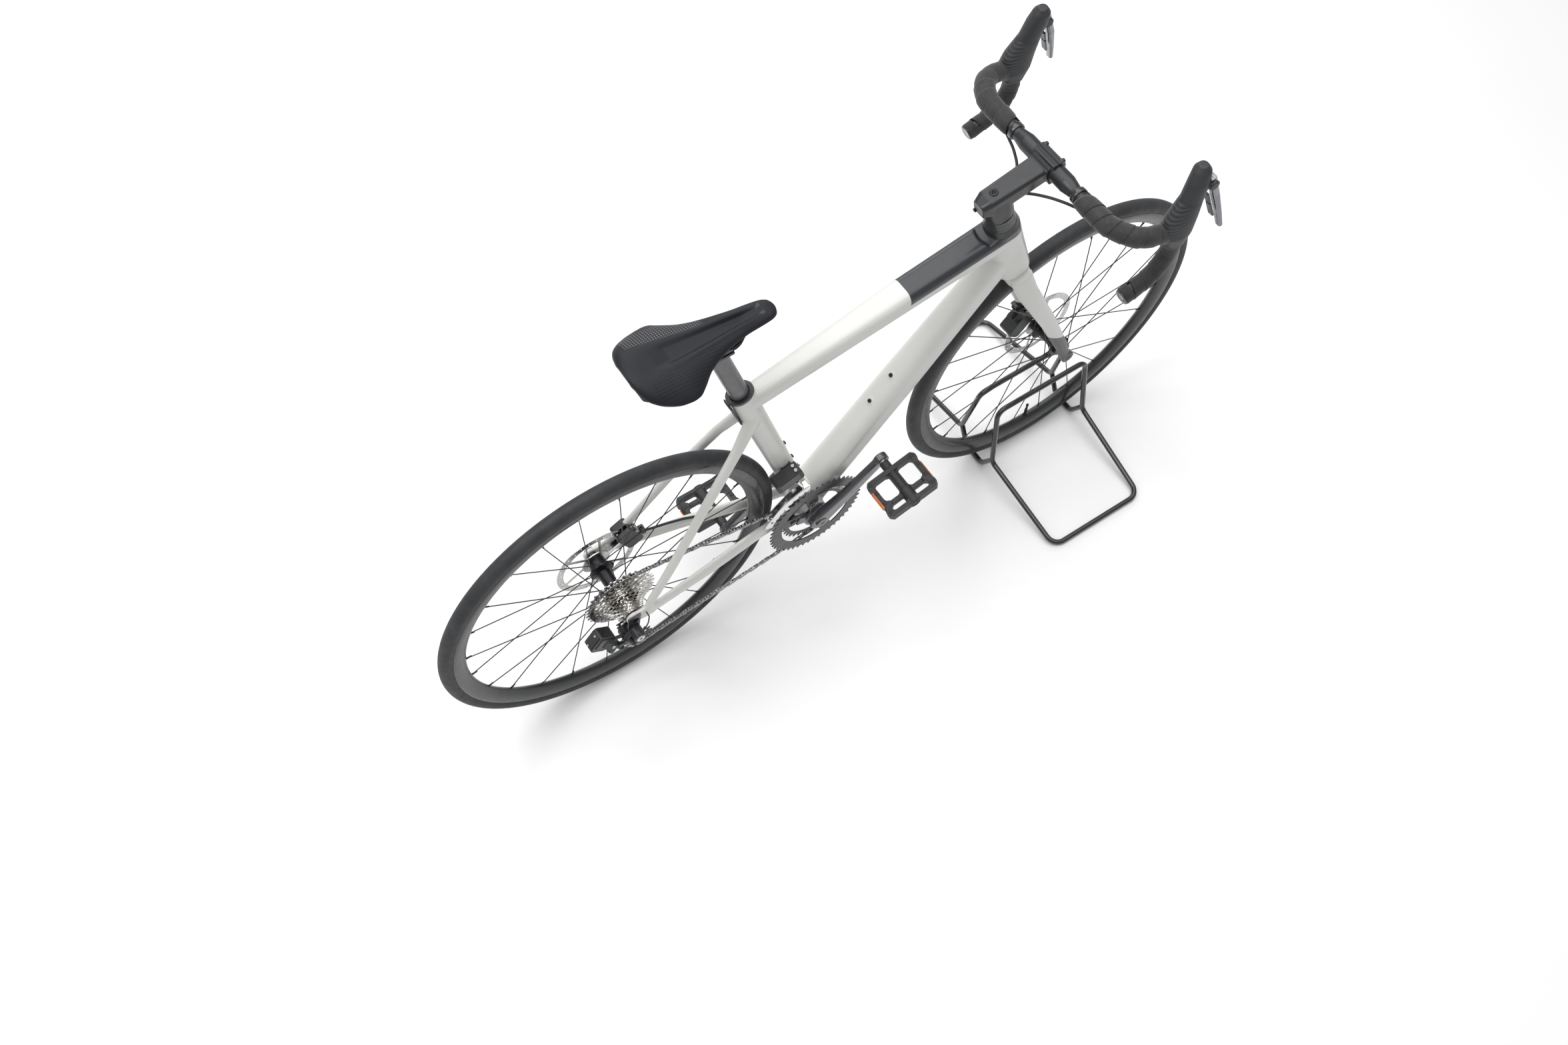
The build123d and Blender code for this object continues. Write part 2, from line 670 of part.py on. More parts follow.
def saddle_pad():
    body = blend(saddle_sections(0.0, 0.0))
    return body - Pos(-300.0, 0, saddle_height - 56.0) * Box(300.0, 170.0, 80.0)


def saddle_base():
    """Stiff shell under the pad, with sockets for the rails."""
    body = blend(saddle_sections(0.0, 5.0))
    body = body & (Pos(-300.0, 0, saddle_height - 19.0) * Box(238.0, 170.0, 6.0))
    body += rod((-206.0, -7.5, 922.0), (-182.0, -7.5, 927.5), 5.5)
    body += rod((-206.0, 7.5, 922.0), (-182.0, 7.5, 927.5), 5.5)
    return body


def seat_clamp():
    """Clamp cap at the top of the seat tube with a tail down its rear."""
    top = seat_tube_top
    ring = extrude(oval(on_seat_line(top), seat_up, 40.0, 50.0), amount=8.0, dir=seat_up)
    ring -= extrude(oval(on_seat_line(top - 5), seat_up, 27.6, 33.6), amount=30.0, dir=seat_up)
    back = on_seat_line(top - 6.0) - Vector(26.0, 0, 4.0)
    foot = on_seat_line(640.0) - Vector(25.2, 0, 0)
    tail = loft([oval(back, foot - back, 26.0, 5.0), oval(foot, foot - back, 10.0, 4.0)])
    return Compound(children=[ring, tail])


# ---- fork and front end ----
stem_low = head_tube_length + 40.0
stem_high = head_tube_length + 103.0
fork_tip_y = front_hub_width / 2 + 6.2
bar_centre = Vector(364.0, 0, 915.0)


def fork():
    """Crown, two blades, dropouts and steerer in one moulding."""
    body = loft([
        soft_box(on_steerer(0.0), steer_up, 58.0, 54.0, 25.0),
        soft_box(on_steerer(-20.0), steer_up, 82.0, 46.0, 20.0),
    ])
    blades = stay_pair([
        (tuple(on_steerer(-6.0) + Vector(0, 29.0, 0)), 24.0, 44.0),
        (tuple(on_steerer(-60.0) + Vector(3.0, 35.0, 0)), 22.0, 41.0),
        ((425.0, 45.0, 490.0), 18.0, 32.0),
        ((474.0, 53.5, 385.0), 13.0, 26.0),
        ((489.0, 56.0, 344.0), 12.0, 24.0),
    ])
    body += blades
    body += rod(on_steerer(-4.0), on_steerer(stem_high - 17.0), 14.3)
    for side in (-1, 1):
        body += cross_rod(front_axle.X, front_axle.Z, side * (fork_tip_y - 6.0), side * (fork_tip_y + 6.0), 13.5)
    body -= Pos(*front_axle) * Rot(90, 0, 0) * Cylinder(wheel_radius + 7.0, 2 * 19.5)
    body -= cross_rod(front_axle.X, front_axle.Z, -(fork_tip_y - 6.0), fork_tip_y - 6.0, 30.0)
    body -= cross_rod(front_axle.X, front_axle.Z, -80.0, 80.0, axle_radius)
    return body


def headset():
    """Two bearings, the wide cover and three spacers, stacked round the steerer."""
    steps = (
        (1.5, 9.0, 26.0 - running_gap, 14.3),
        (head_tube_length - 9.0, head_tube_length - 1.5, 26.0 - running_gap, 14.3),
    )
    made = [sleeve(on_steerer(low), on_steerer(high), outer, inner) for low, high, outer, inner in steps]
    top = head_tube_length + 0.6
    cones = ((0.0, 12.0, 30.5, 27.5), (12.2, 19.0, 27.0, 26.6), (19.2, 29.0, 26.4, 26.0), (29.2, 39.0, 25.8, 25.4))
    for low, high, wide, narrow in cones:
        lower = Plane(origin=on_steerer(top + low), z_dir=steer_up) * Circle(wide)
        upper = Plane(origin=on_steerer(top + high), z_dir=steer_up) * Circle(narrow)
        made.append(loft([lower, upper]) - rod(on_steerer(top), on_steerer(top + 50.0), 14.3))
    return Compound(children=made)


def stem():
    """Clamp round the steerer, a boxed arm with a short tail, and the rear half of the bar seat."""
    root = on_steerer(stem_high - 21.0)
    along = (bar_centre - root).normalized()
    body = blend([
        soft_box(on_steerer(stem_low), steer_up, 48.0, 52.0, 23.0),
        soft_box(on_steerer(stem_high - 34.0), steer_up, 42.0, 54.0, 18.0),
        soft_box(on_steerer(stem_high - 16.0), steer_up, 38.0, 52.0, 14.0),
    ])
    body += blend([
        soft_box(root - along * 33.0 - Vector(0, 0, 1.0), along, 27.0, 27.0, 8.0),
        soft_box(root - along * 17.0, along, 38.0, 38.0, 9.0),
        soft_box(bar_centre - along * 18.0, along, 42.0, 32.0, 7.0),
    ])
    body += cross_rod(bar_centre.X, bar_centre.Z, -22.0, 22.0, 21.0)
    body += Pos(bar_centre.X - 6.0, 0, bar_centre.Z) * Box(12.0, 52.0, 42.0)
    body -= Pos(bar_centre.X + 20.6, 0, bar_centre.Z) * Box(40.0, 80.0, 60.0)
    body -= cross_rod(bar_centre.X, bar_centre.Z, -40.0, 40.0, 15.9)
    return body - rod(on_steerer(stem_low - 20.0), on_steerer(stem_high - 16.0), 14.3)


def stem_faceplate():
    """Front half of the bar seat with its four bolts."""
    body = cross_rod(bar_centre.X, bar_centre.Z, -22.0, 22.0, 21.0)
    body += Pos(bar_centre.X + 4.6, 0, bar_centre.Z) * Box(8.0, 52.0, 42.0)
    body -= Pos(bar_centre.X - 19.4, 0, bar_centre.Z) * Box(40.0, 80.0, 60.0)
    body -= cross_rod(bar_centre.X, bar_centre.Z, -40.0, 40.0, 15.9)
    made = [body]
    for y in (-21.0, 21.0):
        for z in (-17.8, 17.8):
            seat = Vector(bar_centre.X + 8.6, y, bar_centre.Z + z)
            made.append(sleeve(seat, seat + Vector(4.0, 0, 0), 4.2, 1.8))
    return Compound(children=made)


# Half of the bar's centreline, rider's left side: top, bend, ramp, hook and drop.
bar_route = ((364.0, 0.0, 915.0), (362.0, 158.0, 917.0), (390.0, 201.0, 914.0), (446.0, 207.0, 902.0),
             (469.0, 208.0, 856.0), (446.0, 209.0, 800.0), (383.0, 210.0, 781.0))
bar_bends = (62.0, 46.0, 46.0, 50.0, 56.0)
bar_radius = 11.9
tape_radius = 17.4
tape_start = 76.0


def bar_half(radius, bore, start_y):
    points = [(bar_route[0][0], start_y, bar_route[0][2])] + list(bar_route[1:])
    return bent_tube(points, radius, list(bar_bends), bore)


def handlebar():
    """Drop bar, thicker where the stem clamps it."""
    body = cross_rod(bar_centre.X, bar_centre.Z, -52.0, 52.0, 15.9)
    half = bar_half(bar_radius, 0.0, 30.0)
    wide = Plane(origin=(bar_centre.X, 52.0, bar_centre.Z), z_dir=(0, 1, 0)) * Circle(15.9)
    narrow = Plane(origin=(bar_centre.X - 0.4, 70.0, bar_centre.Z + 0.3), z_dir=(0, 1, 0)) * Circle(12.4)
    half += loft([wide, narrow])
    return body + half + mirrored(half)


def bar_tape(side):
    tape = bar_half(tape_radius, bar_radius, tape_start)
    return tape if side > 0 else mirrored(tape)


lever_pivot = Vector(507.0, 201.0, 984.0)
lever_tip = Vector(556.0, 219.0, 862.0)
lever_along = (lever_tip - lever_pivot).normalized()


def hood(side):
    """Rubber-covered lever body: clamped to the bar, with a tall forward horn."""
    up = Vector(0, 0, 1)
    body = blend([
        oval((462.0, 208.0, 874.0), up, 38.0, 40.0),
        oval((460.0, 207.0, 900.0), up, 46.0, 66.0),
        oval((466.0, 206.0, 928.0), up, 41.0, 62.0),
        oval((479.0, 203.0, 962.0), up, 33.0, 44.0),
        oval((486.0, 200.0, 992.0), up, 34.0, 38.0),
        oval((489.0, 197.0, 1012.0), up, 30.0, 30.0),
        oval((489.0, 196.0, 1022.0), up, 16.0, 16.0),
    ])
    room = Pos(516.0, 204.0, 966.0) * Box(40.0, 18.0, 60.0)
    body -= room
    body += cross_rod(lever_pivot.X, lever_pivot.Z, lever_pivot.Y - 12.0, lever_pivot.Y + 16.0, 2.5)
    for ear in (-12.0, 12.5):
        ear_low = lever_pivot.Y + 3.0 + ear
        body += cross_rod(lever_pivot.X - 2.0, lever_pivot.Z, ear_low - 3.0, ear_low + 3.0, 9.0)
    return body if side > 0 else mirrored(body)


def brake_lever(side):
    """Curved blade that hangs from its pin and swings back towards the bar."""
    body = blend([
        soft_box(lever_pivot + Vector(2.0, 3.0, 6.0), lever_along, 15.0, 12.0, 4.0),
        soft_box(lever_pivot + lever_along * 45.0 + Vector(5.0, 0, 0), lever_along, 15.0, 13.0, 4.0),
        soft_box(lever_pivot + lever_along * 95.0 + Vector(3.0, 0, 0), lever_along, 14.0, 10.0, 4.0),
        soft_box(lever_tip, lever_along, 13.0, 8.0, 3.5),
    ])
    body += cross_rod(lever_pivot.X, lever_pivot.Z, lever_pivot.Y - 4.5, lever_pivot.Y + 10.5, 6.5)
    body -= cross_rod(lever_pivot.X, lever_pivot.Z, lever_pivot.Y - 30.0, lever_pivot.Y + 30.0, 2.5 + running_gap)
    return body if side > 0 else mirrored(body)


def shift_paddle(side, order):
    """Small shift button behind the blade: the upper one is short, the lower one long."""
    start, end = ((34.0, 56.0), (61.0, 94.0))[order]
    plate = soft_box(lever_pivot + lever_along * start + Vector(-9.5, -1.0, -1.0), lever_along, 12.0, 4.0, 1.5)
    body = extrude(plate, amount=end - start)
    return body if side > 0 else mirrored(body)


def caliper(line, centre, axle, foot, foot_turn):
    """Caliper that straddles the disc and opens towards the axle, with its pads and foot."""
    toward_axle = degrees(atan2(axle.Z - centre[1], axle.X - centre[0]))
    block = Pos(0, 3.0, 0) * Box(58.0, 31.0, 34.0)
    block = fillet(block.edges().filter_by(Axis.Y), 8.0)
    block -= Box(80.0, 6.4, 26.0)
    block -= Pos(0, 0, -13.0) * Box(80.0, 6.4, 20.0)
    block += Pos(0, 18.5, 0) * Rot(90, 0, 0) * Cylinder(11.0, 5.0)
    placed = Pos(centre[0], line, centre[1]) * Rot(0, -toward_axle - 90.0, 0)
    body = placed * block
    body += Pos(*foot) * Rot(0, foot_turn, 0) * Box(70.0, 16.0, 9.0)
    pads = [placed * Pos(0, side * 2.35, -2.0) * Box(24.0, 1.5, 18.0) for side in (-1, 1)]
    return Compound(children=[body] + pads)


def front_caliper():
    return caliper(front_rotor_line, (437.0, 388.0), front_axle, (446.0, 49.0, 400.0), 66.3)


def rear_caliper():
    return caliper(rear_rotor_line, (-427.0, 372.0), rear_axle, (-422.0, 68.0, 341.0), 7.0)


def thru_axle(axle, end_y, head):
    """Threaded through-axle with a wide head on the left side."""
    body = cross_rod(axle.X, axle.Z, -end_y, end_y, axle_radius)
    body += cross_rod(axle.X, axle.Z, end_y, end_y + 3.0, head)
    return body - cross_rod(axle.X, axle.Z, end_y - 6.0, end_y + 4.0, 3.0)


# ---- hoses and wire ----
def cockpit_hoses():
    """Brake hoses from under the tape into the underside of the stem."""
    right = bent_tube([
        (357.0, -92.0, 900.0), (353.0, -68.0, 892.0), (343.0, -44.0, 887.0), (327.0, -24.0, 886.0),
        (306.0, -11.0, 890.0),
    ], 2.5, [60.0, 60.0, 45.0])
    return Compound(children=[right, mirrored(right)])


def rear_brake_hose():
    return bent_tube([
        (-404.0, 50.0, 368.0), (-384.0, 50.5, 358.0), (-352.0, 50.0, 345.0), (-316.0, 48.0, 331.0), (-282.0, 45.0, 313.0),
    ], 2.5, [90.0, 120.0, 110.0])


def derailleur_wire():
    """Thin loop from the dropout to the rear derailleur."""
    return bent_tube([
        (-472.0, -79.0, 340.0), (-473.0, -91.0, 345.0), (-481.0, -101.0, 346.0), (-493.0, -107.0, 341.0),
        (-502.0, -106.0, 331.0), (-504.0, -100.0, 321.0),
    ], 1.2, [9.0, 12.0, 16.0, 14.0])


# ---- front derailleur ----
def ring_sector(low, high, start, end):
    """Part of a ring round the bracket, in side view, between two angles."""
    middle = radians((start + end) / 2)
    first, last = radians(start), radians(end)
    corners = [(radius * cos(angle), radius * sin(angle)) for radius in (low, high) for angle in (first, middle, last)]
    inner = ThreePointArc(*corners[:3])
    outer = ThreePointArc(*corners[3:])
    ends = [Line(corners[0], corners[3]), Line(corners[2], corners[5])]
    return Pos(bracket.X, bracket.Z) * make_face([inner, outer] + ends)


def front_derailleur():
    """Motor unit on the seat tube with its clamp plate and adjusting screw."""
    seat_lean = 90.0 - seat_angle
    body = Box(56.0, 24.0, 31.0)
    body = fillet(body.edges().filter_by(Axis.Y), 6.0)
    body = Pos(-146.0, -33.5, 438.0) * Rot(0, -seat_lean, 0) * body
    body += Pos(-135.0, -19.5, 438.0) * Rot(0, -seat_lean, 0) * Box(20.0, 8.0, 34.0)
    return body


def front_derailleur_cage():
    """Chain guide: two curved plates joined over the top and at the tail, on a short arm."""
    outer = side_plate(ring_sector(106.0, 123.0, 80.0, 157.0), -46.4, -45.0)
    inner = side_plate(ring_sector(91.0, 123.0, 80.0, 149.0), -35.0, -33.6)
    bridge = side_plate(ring_sector(121.0, 124.5, 82.0, 106.0), -46.4, -33.6)
    tail = cross_rod(bracket.X - 98.0, bracket.Z + 60.0, -46.4, -33.6, 3.0)
    arm = rod((bracket.X - 20.0, -41.0, bracket.Z + 121.5), (-129.0, -40.0, 418.0), 4.0)
    return outer + inner + bridge + tail + arm


# ---- rear derailleur ----
link_length = 38.0
link_mid = Vector(-0.75, 0, -0.66)
link_travel = Vector(-0.33, -0.866, 0.375)
link_rest_angle = radians(29.0)
link_axis = link_mid.cross(link_travel).normalized()
link_vector = (link_mid * cos(link_rest_angle) - link_travel * sin(link_rest_angle)).normalized() * link_length
knuckle_pin = Vector(rear_axle.X - 20.0, -92.0, 297.0)
link_pin = knuckle_pin + link_vector
hanger_bolt = Vector(rear_axle.X - 6.0, 0, 311.0)
ear_gap = 6.0
cage_outer_face = rear_line - 5.2


def pin_fork(pin, target):
    """Two ears and a pin along the link axis, with struts to the part that carries them."""
    body = rod(pin - link_axis * (ear_gap + 4.0), pin + link_axis * (ear_gap + 4.0), 2.5)
    away = target - pin
    away = (away - link_axis * away.dot(link_axis)).normalized()
    for side in (-1, 1):
        near = pin + link_axis * (side * ear_gap)
        far = pin + link_axis * (side * (ear_gap + 4.0))
        elbow = far + away * 13.0
        body += rod(near, far, 6.5)
        body += rod(far, elbow, 3.4)
        body += rod(elbow - away * 2.0, target, 3.4)
    return body


def derailleur_body():
    """Fixed knuckle on the hanger bolt, with the fork for the link."""
    boss = cross_rod(hanger_bolt.X, hanger_bolt.Z, -104.0, -82.2, 11.0)
    boss += cross_rod(hanger_bolt.X, hanger_bolt.Z, -82.3, -74.0, 4.0)
    return boss + pin_fork(knuckle_pin, Vector(hanger_bolt.X, -93.0, hanger_bolt.Z))


def derailleur_link():
    body = rod(knuckle_pin, link_pin, 5.0)
    for pin in (knuckle_pin, link_pin):
        body += rod(pin - link_axis * (ear_gap - 0.4), pin + link_axis * (ear_gap - 0.4), 6.5)
    for pin in (knuckle_pin, link_pin):
        body -= rod(pin - link_axis * 12.0, pin + link_axis * 12.0, 2.5 + running_gap)
    return body


def derailleur_knuckle():
    """Moving knuckle with the motor behind it and the bearing for the cage."""
    bearing_middle = Vector(cage_pivot.X, cage_outer_face - 14.0, cage_pivot.Z)
    motor_centre = link_pin + Vector(-25.0, 18.5, 20.0)
    body = cross_rod(cage_pivot.X, cage_pivot.Z, cage_outer_face - 26.0, cage_outer_face - 0.4, 14.0)
    body += pin_fork(link_pin, bearing_middle)
    body += rod(link_pin + link_axis * (ear_gap + 1.0), motor_centre, 5.0)
    motor = Box(38.0, 24.0, 42.0)
    motor = fillet(motor.edges().filter_by(Axis.Y), 7.0)
    body += Pos(*motor_centre) * Rot(0, 40.0, 0) * motor
    return body - cross_rod(cage_pivot.X, cage_pivot.Z, cage_outer_face - 20.0, cage_outer_face, 4.0 + running_gap)


def hull_plate(circles, y_low, y_high):
    """Plate whose outline is stretched round circles, each (x, z, radius)."""
    edges = [(Pos(x, z) * Circle(radius)).edge() for x, z, radius in circles]
    return side_plate(make_hull(edges), y_low, y_high)


def derailleur_cage():
    """Two plates and the pins that the pulleys turn on."""
    top = (guide_centre.X, guide_centre.Z)
    low = (tension_place.X, tension_place.Z)
    outer = hull_plate([(cage_pivot.X, cage_pivot.Z, 12.0), (*top, 9.0)], cage_outer_face, cage_outer_face + 1.8)
    outer += hull_plate([(*top, 9.0), (*low, 8.0)], cage_outer_face, cage_outer_face + 1.8)
    inner = hull_plate([(*top, 8.0), (*low, 8.0)], rear_line + 3.4, rear_line + 5.0)
    body = outer + inner
    for x, z in (top, low):
        body += cross_rod(x, z, cage_outer_face - 0.1, rear_line + 5.0, 3.0)
    return body + cross_rod(cage_pivot.X, cage_pivot.Z, cage_outer_face - 18.0, cage_outer_face + 0.5, 4.0)


def pulley(centre, teeth):
    face = gear_face(teeth, seat_phase(centre, teeth), 3.0 + running_gap, 5, (8.0, pitch_radius(teeth) - 7.5))
    hub_face = Circle(6.5) - Circle(3.0 + running_gap)
    body = side_plate(face, rear_line - 0.9, rear_line + 0.9)
    body += side_plate(hub_face, rear_line - 3.2, rear_line + 3.2)
    return Pos(centre.X, 0, centre.Z) * body


# ---- display stand ----
stand_rear, stand_front = 368.0, 610.0
stand_joint_y, stand_joint_z = 53.0, 47.0
stand_top_y, stand_top_z = 27.5, 199.0
stand_floor_y = 267.0


def stand_loop(side):
    """Bent-wire hoop: a foot on the floor, and a guard that leans in beside the tyre."""
    middle = (stand_rear + stand_front) / 2
    ends = ((stand_rear, 7.0, 4.0), (stand_front, -8.0, -12.0))
    halves = []
    for x, top_shift, floor_shift in ends:
        halves.append(bent_tube([
            (middle, side * stand_top_y, stand_top_z),
            (x + top_shift, side * stand_top_y, stand_top_z),
            (x, side * stand_joint_y, stand_joint_z),
            (x + floor_shift, side * stand_floor_y, stand_wire_radius),
            (middle, side * stand_floor_y, stand_wire_radius),
        ], stand_wire_radius, [20.0, 16.0, 25.0]))
    return halves[0] + halves[1]


def stand_crossbars():
    """Two dipped wires that pass under the tyre and join the hoops."""
    made = []
    for x in (stand_rear, stand_front):
        corners = [
            (x, -stand_joint_y + 1.5, stand_joint_z + 6.0), (x, -26.0, stand_wire_radius), (x, 26.0, stand_wire_radius),
            (x, stand_joint_y - 1.5, stand_joint_z + 6.0),
        ]
        made.append(bent_tube(corners, stand_wire_radius, [20.0, 20.0]))
    return Compound(children=made)


nodes = {
    "stand_hoop_right": lambda: stand_loop(-1),
    "stand_hoop_left": lambda: stand_loop(1),
    "stand_crossbars": stand_crossbars,
    "fork": fork,
    "headset": headset,
    "stem": stem,
    "stem_faceplate": stem_faceplate,
    "handlebar": handlebar,
    "bar_tape_right": lambda: bar_tape(-1),
    "bar_tape_left": lambda: bar_tape(1),
    "hood_right": lambda: hood(-1),
    "hood_left": lambda: hood(1),
    "cockpit_hoses": cockpit_hoses,
    "front_caliper": front_caliper,
    "front_thru_axle": lambda: thru_axle(front_axle, fork_tip_y + 6.0, 10.0),
    "brake_lever_right": lambda: brake_lever(-1),
    "brake_lever_left": lambda: brake_lever(1),
    "upper_paddle_right": lambda: shift_paddle(-1, 0),
    "lower_paddle_right": lambda: shift_paddle(-1, 1),
    "upper_paddle_left": lambda: shift_paddle(1, 0),
    "lower_paddle_left": lambda: shift_paddle(1, 1),
    "front_rim": lambda: rim(front_axle),
    "front_tyre": lambda: tyre(front_axle),
    "front_hub": lambda: hub(front_axle, front_hub_width, *front_flanges, front_rotor_line),
    "front_spokes": lambda: spokes(front_axle, *front_flanges),
    "front_rotor": lambda: rotor(front_axle, front_rotor_line, front_rotor_radius),
    "frame": frame,
    "bottom_bracket_bearings": bottom_bracket_bearings,
    "seat_clamp": seat_clamp,
    "derailleur_hanger": derailleur_hanger,
    "rear_caliper": rear_caliper,
    "rear_brake_hose": rear_brake_hose,
    "derailleur_wire": derailleur_wire,
    "rear_thru_axle": lambda: thru_axle(rear_axle, rear_hub_width / 2 + 8.2, 10.0),
    "front_derailleur": front_derailleur,
    "front_derailleur_cage": front_derailleur_cage,
    "seatpost": seatpost,
    "saddle_clamp": saddle_clamp,
    "saddle_rails": saddle_rails,
    "saddle_base": saddle_base,
    "saddle_pad": saddle_pad,
    "rear_rim": lambda: rim(rear_axle),
    "rear_tyre": lambda: tyre(rear_axle),
    "rear_hub": lambda: hub(rear_axle, rear_hub_width, *rear_flanges, rear_rotor_line, -25.0),
    "rear_spokes": lambda: spokes(rear_axle, *rear_flanges),
    "rear_rotor": lambda: rotor(rear_axle, rear_rotor_line, rear_rotor_radius),
    "cassette": cassette,
    "crank_arm_right": crank_arm_right,
    "crank_arm_left": crank_arm_left,
    "chainrings": chainrings,
    "pedal_spindles": pedal_spindles,
    "pedal_right": lambda: pedal(-1),
    "pedal_left": lambda: pedal(1),
    "derailleur_body": derailleur_body,
    "derailleur_link": derailleur_link,
    "derailleur_knuckle": derailleur_knuckle,
    "derailleur_cage": derailleur_cage,
    "guide_pulley": lambda: pulley(guide_centre, guide_teeth),
    "tension_pulley": lambda: pulley(tension_place, tension_teeth),
    "chain": chain,
}

os.makedirs("parts", exist_ok=True)
for name, make in nodes.items():
    export_step(make(), f"parts/{name}.step")
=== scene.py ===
import math

import bmesh
import bpy
import numpy as np
from mathutils import Matrix, Vector
from mathutils.bvhtree import BVHTree


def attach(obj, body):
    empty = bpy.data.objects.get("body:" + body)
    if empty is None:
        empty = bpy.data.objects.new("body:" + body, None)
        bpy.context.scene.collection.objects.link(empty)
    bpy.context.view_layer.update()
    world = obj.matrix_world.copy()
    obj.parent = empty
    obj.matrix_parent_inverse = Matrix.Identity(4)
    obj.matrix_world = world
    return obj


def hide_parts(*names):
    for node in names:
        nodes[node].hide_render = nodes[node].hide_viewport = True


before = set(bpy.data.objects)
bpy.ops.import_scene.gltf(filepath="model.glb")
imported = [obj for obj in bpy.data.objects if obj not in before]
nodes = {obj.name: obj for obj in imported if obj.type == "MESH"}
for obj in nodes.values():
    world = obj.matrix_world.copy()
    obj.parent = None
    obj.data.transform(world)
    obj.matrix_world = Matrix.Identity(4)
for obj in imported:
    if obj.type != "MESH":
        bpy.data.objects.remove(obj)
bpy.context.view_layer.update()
scene = bpy.context.scene

# ---- places that the CAD model uses, in metres ----
REAR_AXLE = Vector((-0.495, 0, 0.339))
FRONT_AXLE = Vector((0.495, 0, 0.339))
BRACKET = Vector((-0.08629, 0, 0.267))
CROWN = Vector((0.3367, 0, 0.67343))
STEER_UP = Vector((-0.317305, 0, 0.948324))
SEAT_UP = Vector((-0.284015, 0, 0.958820))
BAR_CENTRE = Vector((0.364, 0, 0.915))
RIGHT_EYE = Vector((0.03568, -0.072, 0.38898))
LEFT_EYE = Vector((-0.20827, 0.072, 0.14502))
PEDAL_PITCH = math.radians(16.0)
CRANK_ANGLE = 45
MOTOR = Vector((-0.5589, -0.0575, 0.2881))
LINK_PIN = Vector((-0.5339, -0.0760, 0.2681))
SHIFTER = Vector((-0.146, -0.0335, 0.438))

# ---- the bar's centre line, in millimetres ----
BAR_ROUTE = ((364.0, 76.0, 915.0), (362.0, 158.0, 917.0), (390.0, 201.0, 914.0), (446.0, 207.0, 902.0),
             (469.0, 208.0, 856.0), (446.0, 209.0, 800.0), (383.0, 210.0, 781.0))
BAR_BENDS = (62.0, 46.0, 46.0, 50.0, 56.0)


def on_steerer(distance):
    """Point on the steering axis, a distance above the crown."""
    return CROWN + STEER_UP * distance


def on_seat_line(height):
    """Point on the seat tube's axis at a height above the floor."""
    return BRACKET + SEAT_UP * ((height - BRACKET.z) / SEAT_UP.z)


# ---- materials ----
def shade(name):
    """A node material with its tree, its Principled shader and the object's own coordinates."""
    material = bpy.data.materials.new(name)
    material.use_nodes = True
    tree = material.node_tree
    place = add(tree, "ShaderNodeTexCoord").outputs["Object"]
    return material, tree, tree.nodes["Principled BSDF"], place


def add(tree, kind, inputs=None, **settings):
    """Adds a node, linking the inputs that are sockets and setting the others."""
    node = tree.nodes.new(kind)
    for key, value in settings.items():
        setattr(node, key, value)
    for key, value in (inputs or {}).items():
        if isinstance(value, bpy.types.NodeSocket):
            tree.links.new(value, node.inputs[key])
        else:
            node.inputs[key].default_value = value
    return node


def mix_colour(tree, factor, first, second, blend="MIX"):
    inputs = {0: factor, 6: first, 7: second}
    return add(tree, "ShaderNodeMix", inputs, data_type="RGBA", blend_type=blend).outputs[2]


def ramp(tree, value, low, high, start=0.0, end=1.0):
    return add(tree, "ShaderNodeMapRange", {"Value": value, "From Min": low, "From Max": high,
                                            "To Min": start, "To Max": end}).outputs[0]


def math_node(tree, operation, first, second=0.0, third=0.0):
    return add(tree, "ShaderNodeMath", {0: first, 1: second, 2: third}, operation=operation).outputs[0]


def times(tree, first, second):
    return math_node(tree, "MULTIPLY", first, second)


def split(tree, place):
    return add(tree, "ShaderNodeSeparateXYZ", {0: place}).outputs


def noise(tree, place, scale, detail):
    return add(tree, "ShaderNodeTexNoise", {"Vector": place, "Scale": scale, "Detail": detail}).outputs[0]


def raise_surface(tree, shader, height, strength, distance):
    bump = add(tree, "ShaderNodeBump", {"Strength": strength, "Distance": distance, "Height": height})
    tree.links.new(bump.outputs[0], shader.inputs["Normal"])


def surface(name, colour, rough, metal=0.0, coat=0.0, vary=0.10, vary_scale=18.0, rough_vary=0.06,
            grain=0.0, grain_scale=900.0, edge_highlight=0.0, specular=0.5, stretch=(1, 1, 1)):
    """Coloured material with cloudy colour, uneven gloss, fine surface grain and convex edges painted lighter
    as a painted highlight.
    """
    material, tree, shader, place = shade(name)
    if stretch != (1, 1, 1):
        place = add(tree, "ShaderNodeMapping", {"Vector": place, "Scale": stretch}).outputs[0]
    cloud = noise(tree, place, vary_scale, 4.0)
    dark = tuple(c * (1 - vary) for c in colour) + (1,)
    light = tuple(min(c * (1 + vary), 1) for c in colour) + (1,)
    tone = mix_colour(tree, ramp(tree, cloud, 0.3, 0.7), dark, light)
    # Painted highlight: convex edges, found by pointiness, are painted lighter, standing in for light caught
    # by the edges.
    if edge_highlight:
        edge = add(tree, "ShaderNodeNewGeometry").outputs["Pointiness"]
        highlight_mask = times(tree, ramp(tree, edge, 0.53, 0.62), edge_highlight)
        tone = mix_colour(tree, highlight_mask, tone, tuple(min(c * 2.2 + 0.05, 1) for c in colour) + (1,))
    tree.links.new(tone, shader.inputs["Base Color"])
    patch = noise(tree, place, vary_scale * 3.3, 3.0)
    tree.links.new(ramp(tree, patch, 0.3, 0.7, max(rough - rough_vary, 0.02), rough + rough_vary),
                   shader.inputs["Roughness"])
    if grain:
        raise_surface(tree, shader, noise(tree, place, grain_scale, 2.0), grain, 0.0006)
    shader.inputs["Metallic"].default_value = metal
    shader.inputs["Coat Weight"].default_value = coat
    shader.inputs["Coat Roughness"].default_value = 0.08
    shader.inputs["Specular IOR Level"].default_value = specular
    return material


